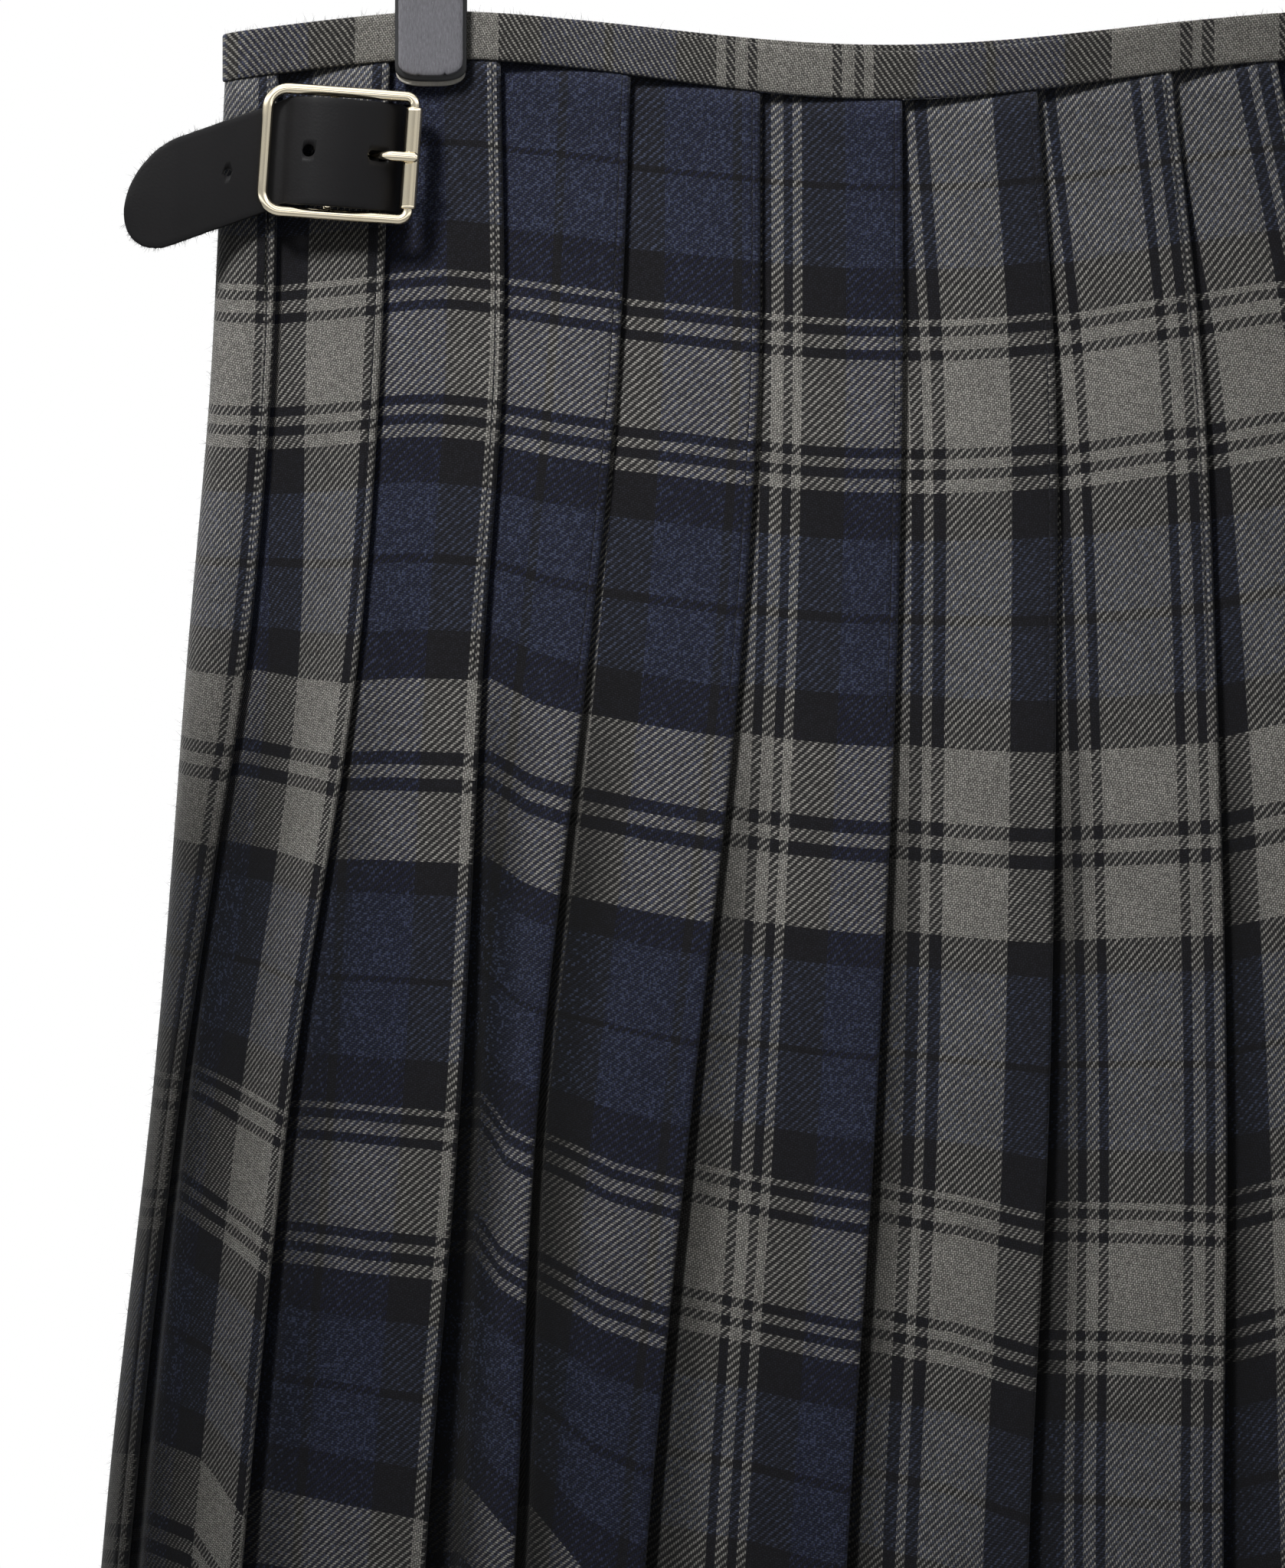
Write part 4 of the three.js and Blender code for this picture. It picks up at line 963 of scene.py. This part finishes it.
def framePath():
    halfLength = buckle["length"] / 2 - buckle["wire"]
    halfHeight = buckle["height"] / 2 - buckle["wire"]
    path = []
    for x, z, radius, start in ((1, 1, buckle["rollerCorner"], 0), (-1, 1, buckle["leftCorner"], 90),
                                (-1, -1, buckle["leftCorner"], 180), (1, -1, buckle["rollerCorner"], 270)):
        for angle in np.radians(np.linspace(start, start + 90, 10)):
            path.append((x * (halfLength - radius) + radius * cos(angle), -buckle["plane"],
                         z * (halfHeight - radius) + radius * sin(angle)))
    path = np.array(path)
    fine = []
    for a, b in zip(path, np.roll(path, -1, 0)):
        steps = max(1, int(np.linalg.norm(b - a) / 2.5))
        fine += [a + (b - a) * t for t in np.arange(steps) / steps]
    return np.array(fine)


def rollerShape():
    halfLength = buckle["height"] / 2 - buckle["wire"] - buckle["rollerCorner"] - 0.4
    inner, outer, lip = buckle["wire"] + pleats["gap"], buckle["roller"], 0.25
    profile = [(inner, -halfLength), (outer - lip, -halfLength), (outer, -halfLength + lip)] \
        + [(outer, z) for z in np.linspace(-halfLength + 1, halfLength - 1, 8)] \
        + [(outer, halfLength - lip), (outer - lip, halfLength), (inner, halfLength)]
    profile = np.array(profile)
    angle = np.linspace(0, 2 * pi, 36, endpoint=False)[:, None]
    x = buckle["length"] / 2 - buckle["wire"] + profile[None, :, 0] * np.cos(angle)
    y = -buckle["plane"] + profile[None, :, 0] * np.sin(angle)
    points = np.stack([x, y, np.broadcast_to(profile[:, 1], x.shape)], -1)
    faces = outwards(points, loopQuads(len(angle), len(profile), ring=True))
    return points.reshape(-1, 3), faces


# The prong: an eye round the centre bar, a thin shank up through the slot, a thicker shoulder and a
# blunt end across the roller.
def prongShape():
    eyeRadius = buckle["bar"] + pleats["gap"] + buckle["prong"]
    eye = [(buckle["barAlong"] + eyeRadius * cos(a), buckle["barOff"] + eyeRadius * sin(a))
           for a in np.radians(np.linspace(-30, -270, 12))]
    top = buckle["plane"] + buckle["roller"] + pleats["gap"] + buckle["shoulder"]
    shank = [(1, 6.8), (4, 6.3), (6.5, 5.9), (8.6, 6.1), (10.8, 8.2), (13.2, top - 0.3)]
    shank += [(x, top) for x in (16, 20.4, 21.3, 21.6)]
    path = throughPoints([(x, -off, 0) for x, off in eye + shank], 4)
    x = path[:, 0]
    radius = np.interp(x, [9, 11, 12.6, 14.8, 20.9, 21.6], [0.75, 0.8, 1.15, buckle["shoulder"], 1.42, 0.95])
    return wireAlong(path, radius, 18)


def boxBetween(low, high):
    x, y, z = zip(low, high)
    loops = np.array([[(x[0], y[0], k), (x[1], y[0], k), (x[1], y[1], k), (x[0], y[1], k)] for k in z])
    return loops.reshape(-1, 3), outwards(loops, loopQuads(2, 4))


# The slot that the prong comes up through, longer along the strap than across it.
def slotShape():
    at, radius, extra = strap["slot"]
    points, faces = wireAlong([(at, -14, 0), (at, -2, 0)], radius, 24)
    return points + np.sign(points - [at, 0, 0]) * [extra, 0, 0], faces


def placed(shape, placement):
    points, faces = shape
    turn, shift = placement
    return points @ turn.T + shift, faces


# Gives a solid of the frame its own material.
def dress(name, material):
    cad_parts[name].data.materials.clear()
    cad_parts[name].data.materials.append(material)


for side, placement in placements().items():
    root = strap["slitRoot"] if side == "near" else strap["apronRoot"]
    points, faces = placed(strapShape(root), placement)
    strapPiece = makeMesh(side + "_strap_leather", points, faces, slot="black_leather", material=leather)
    holes = [cylinderAt(r, a, -6, tailDroop(a), 14) for a, r in strap["holes"]]
    cutOut(strapPiece, [placed(h, placement) for h in holes + [slotShape()]])
    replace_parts(strapPiece, side + "_strap")
    if side == "near":
        cutOut(panel, [placed(boxBetween(*strap["slit"]), placement)])
    heights = np.linspace(-buckle["barHalf"], buckle["barHalf"], 12)
    bar = wireAlong([(buckle["barAlong"], -buckle["barOff"], z) for z in heights], buckle["bar"], 16)
    wire = wireAlong(framePath(), buckle["wire"], 18, ring=True)
    points, faces = placed(together([wire, bar]), placement)
    framePiece = makeMesh(side + "_buckle_wire", points, faces, slot="pale_brass", material=paleBrass)
    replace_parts(framePiece, side + "_buckle_frame")
    roller = makeMesh(side + "_roller_tube", *placed(rollerShape(), placement), slot="pale_brass", material=paleBrass)
    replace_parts(roller, side + "_buckle_roller")
    prong = makeMesh(side + "_prong_wire", *placed(prongShape(), placement), slot="pale_brass", material=paleBrass)
    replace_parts(prong, side + "_buckle_prong")
    dress(side + "_chape", leather)


# Short leather hairs along the strap's two edges, a little denser towards the tip.
def strapHairs(placement):
    turn, shift = placement
    count, start = hairCount["strap"], strap["tipStart"]
    along = -16 - (-start - 16 + strap["tip"]) * rng.uniform(0, 1, count) ** 0.8
    side = np.where(rng.uniform(0, 1, count) < 0.5, -1, 1)
    over = np.clip((start - along) / strap["tip"], 0, 0.995)
    half = strap["width"] / 2 * np.sqrt(1 - over ** 2)
    off = np.interp(-along, [-a for a, _ in strap["over"]][7:], [o for _, o in strap["over"]][7:])
    base = np.stack([along, -off - rng.uniform(-0.9, 0.9, count), tailDroop(along) + side * (half - 0.15)], 1)
    outward = np.stack([-over, 0 * over, side * np.sqrt(1 - over ** 2)], 1)
    return base @ turn.T + shift, outward @ turn.T


for side, placement in placements().items():
    fibres(side + "_strap_hairs", *strapHairs(placement), 1.1, 0.06, leather, "black_leather")
print("fastenings made")

# Hanger.

clip = {"x": 124.4, "top": -81, "bow": 3.6, "padIn": 7.2, "padOut": 8.6, "jawIn": 8.9, "jawOut": 11,
        "jawWidth": 17.5, "padWidth": 19.4, "lipWidth": 18.8, "jawBottom": -123, "padBottom": -124.3,
        "lipBottom": -125.6, "notches": [(-0.36, 0.5), (0.44, 0.7)]}


# A plate with a rounded lower edge: across it the edge rises like a superellipse, with small notches.
# The outer face rounds over at its sides and along the lower edge.
def plate(x, facing, width, top, bottom, inner, outer, notches=()):
    t = np.sin(np.linspace(-pi / 2, pi / 2, 49))
    edge = bottom + clip["bow"] * (1 - np.maximum(0, 1 - np.abs(t) ** 3.2) ** 0.5)
    for at, high in notches:
        edge = edge + high * np.exp(-((t - at) / 0.035) ** 2)
    down = np.concatenate([np.linspace(0, 0.94, 24), [0.965, 0.985, 1]])[:, None]
    z = top + (edge - top) * down
    soft = 0.3 * (np.abs(t) ** 14 + np.clip((down - 0.965) / 0.035, 0, 1) ** 2)
    front = np.stack([x + width / 2 * t + 0 * z, facing * (outer - np.minimum(soft, 0.45)) + 0 * z, z], -1)
    back = np.stack([x + width / 2 * t + 0 * z, facing * inner + 0 * z, z], -1)
    points = np.concatenate([front, back[:, ::-1]], 1)
    return points.reshape(-1, 3), outwards(points, loopQuads(len(down), 2 * len(t), wall=True))


for side, x in (("left", -clip["x"]), ("right", clip["x"])):
    for facing, sign in (("near", -1), ("far", 1)):
        name = f"{side}_clip_{facing}"
        top, padBottom, padIn = clip["top"], clip["padBottom"], clip["padIn"]
        jaw = plate(x, sign, clip["jawWidth"], top, clip["jawBottom"], clip["jawIn"], clip["jawOut"], clip["notches"])
        pad = plate(x, sign, clip["padWidth"], top, padBottom, padIn + 0.45, clip["padOut"])
        lip = plate(x, sign, clip["lipWidth"], padBottom + 4.5, clip["lipBottom"], padIn, padIn + 0.4)
        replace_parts(makeMesh(name + "_face", *jaw, slot="grey_plastic", material=greyPlastic), name + "_jaw")
        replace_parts(makeMesh(name + "_grip", *pad, slot="black_plastic", material=blackPlastic), name + "_pad")
        makeMesh(name + "_lip", *lip, slot="bright_steel", material=paleLip)
for name in ("hanger_hook", "hanger_rail", "left_clip_spring", "right_clip_spring"):
    dress(name, steel)
print("hanger finished")

# Floor, light and camera.

# each light's place, where it points, its size, its spread in degrees and its power
lights = {
    "keyLight": ((-0.9, -1.15, 1.15), (-0.07, 0, -0.2), 0.4, 24, 0.85),
    "fillLight": ((1.6, -2.6, 0.2), (0, 0, -0.4), 2.0, 180, 2),
    "backLight": ((-0.6, 2.4, 1.0), (0, 0, -0.4), 2.0, 180, 25),
    "sideLight": ((2.4, 1.4, 0.8), (0, 0, -0.4), 1.5, 180, 8),
}
floor = {"radius": 1400, "height": -800.0, "paint": (0.16, 0.16, 0.16, 1), "glow": (0.98, 0.98, 0.97, 1),
         "glowStrength": 0.68}
view = {"centreX": -0.0669, "centreZ": -0.3151, "height": 0.4267, "distance": 4.0,
        # how bright the room looks in glossy surfaces, from below to above
        "reflections": [(0, 0.25), (0.3, 0.1), (0.44, 0.75), (0.5, 0.2), (0.58, 0.12), (0.7, 1), (0.85, 0.3), (1, 0.8)]}


def setStage():
    angle = np.linspace(0, 2 * pi, 64, endpoint=False)
    radius = floor["radius"]
    points = np.stack([radius * np.cos(angle), radius * np.sin(angle), np.full(64, floor["height"])], 1)
    mesh = bpy.data.meshes.new("floor")
    mesh.from_pydata((points * 0.001).tolist(), [], [list(range(64))])
    disc = addObject("floor", mesh)
    material, _, shader = newMaterial("floorPaint", roughness=0.9)
    for label, value in (("Base Color", "paint"), ("Emission Color", "glow"), ("Emission Strength", "glowStrength")):
        shader.inputs[label].default_value = floor[value]
    disc.visible_diffuse = disc.visible_glossy = False
    mesh.materials.append(material)

    world = bpy.data.worlds.new("studio")
    bpy.context.scene.world = world
    world.use_nodes = True
    tree = world.node_tree
    seen = tree.nodes["Background"]
    seen.inputs["Color"].default_value, seen.inputs["Strength"].default_value = (1, 1, 1, 1), 1.0
    rays = node(tree, "ShaderNodeLightPath")
    up = node(tree, "ShaderNodeSeparateXYZ", {0: node(tree, "ShaderNodeTexCoord").outputs["Generated"]})
    bands = node(tree, "ShaderNodeValToRGB", {"Fac": maths(tree, "MULTIPLY_ADD", up.outputs[2], 0.5, 0.5)})
    for k, (place, bright) in enumerate(view["reflections"]):
        stop = bands.color_ramp.elements[k] if k < 2 else bands.color_ramp.elements.new(place)
        stop.position, stop.color = place, (bright, bright, bright, 1)
    glossy = maths(tree, "MULTIPLY", rays.outputs["Is Glossy Ray"], bands.outputs[0])
    strength = maths(tree, "MULTIPLY_ADD", glossy, 2.2, 0.08)
    glow = node(tree, "ShaderNodeBackground", {"Color": (0.96, 0.98, 1, 1), "Strength": strength})
    mix = node(tree, "ShaderNodeMixShader",
               {0: rays.outputs["Is Camera Ray"], 1: glow.outputs[0], 2: seen.outputs[0]})
    tree.links.new(mix.outputs[0], tree.nodes["World Output"].inputs["Surface"])

    for name, (place, aim, size, spread, power) in lights.items():
        light = bpy.data.lights.new(name, "AREA")
        light.size, light.energy, light.spread = size, power, radians(spread)
        lamp = addObject(name, light)
        lamp.location = place
        lamp.rotation_mode = "QUATERNION"
        lamp.rotation_quaternion = Vector(np.array(aim) - np.array(place)).to_track_quat("-Z", "Y")

    camera = bpy.data.cameras.new("camera")
    camera.sensor_width = 36
    camera.lens = 18 * view["distance"] / (view["height"] / 2)
    camera.clip_end = 50
    eye = addObject("camera", camera)
    eye.location = (view["centreX"], -view["distance"], view["centreZ"])
    eye.rotation_euler = (radians(90), 0, 0)
    bpy.context.scene.camera = eye
    bpy.context.scene.view_settings.view_transform = "Standard"


setStage()
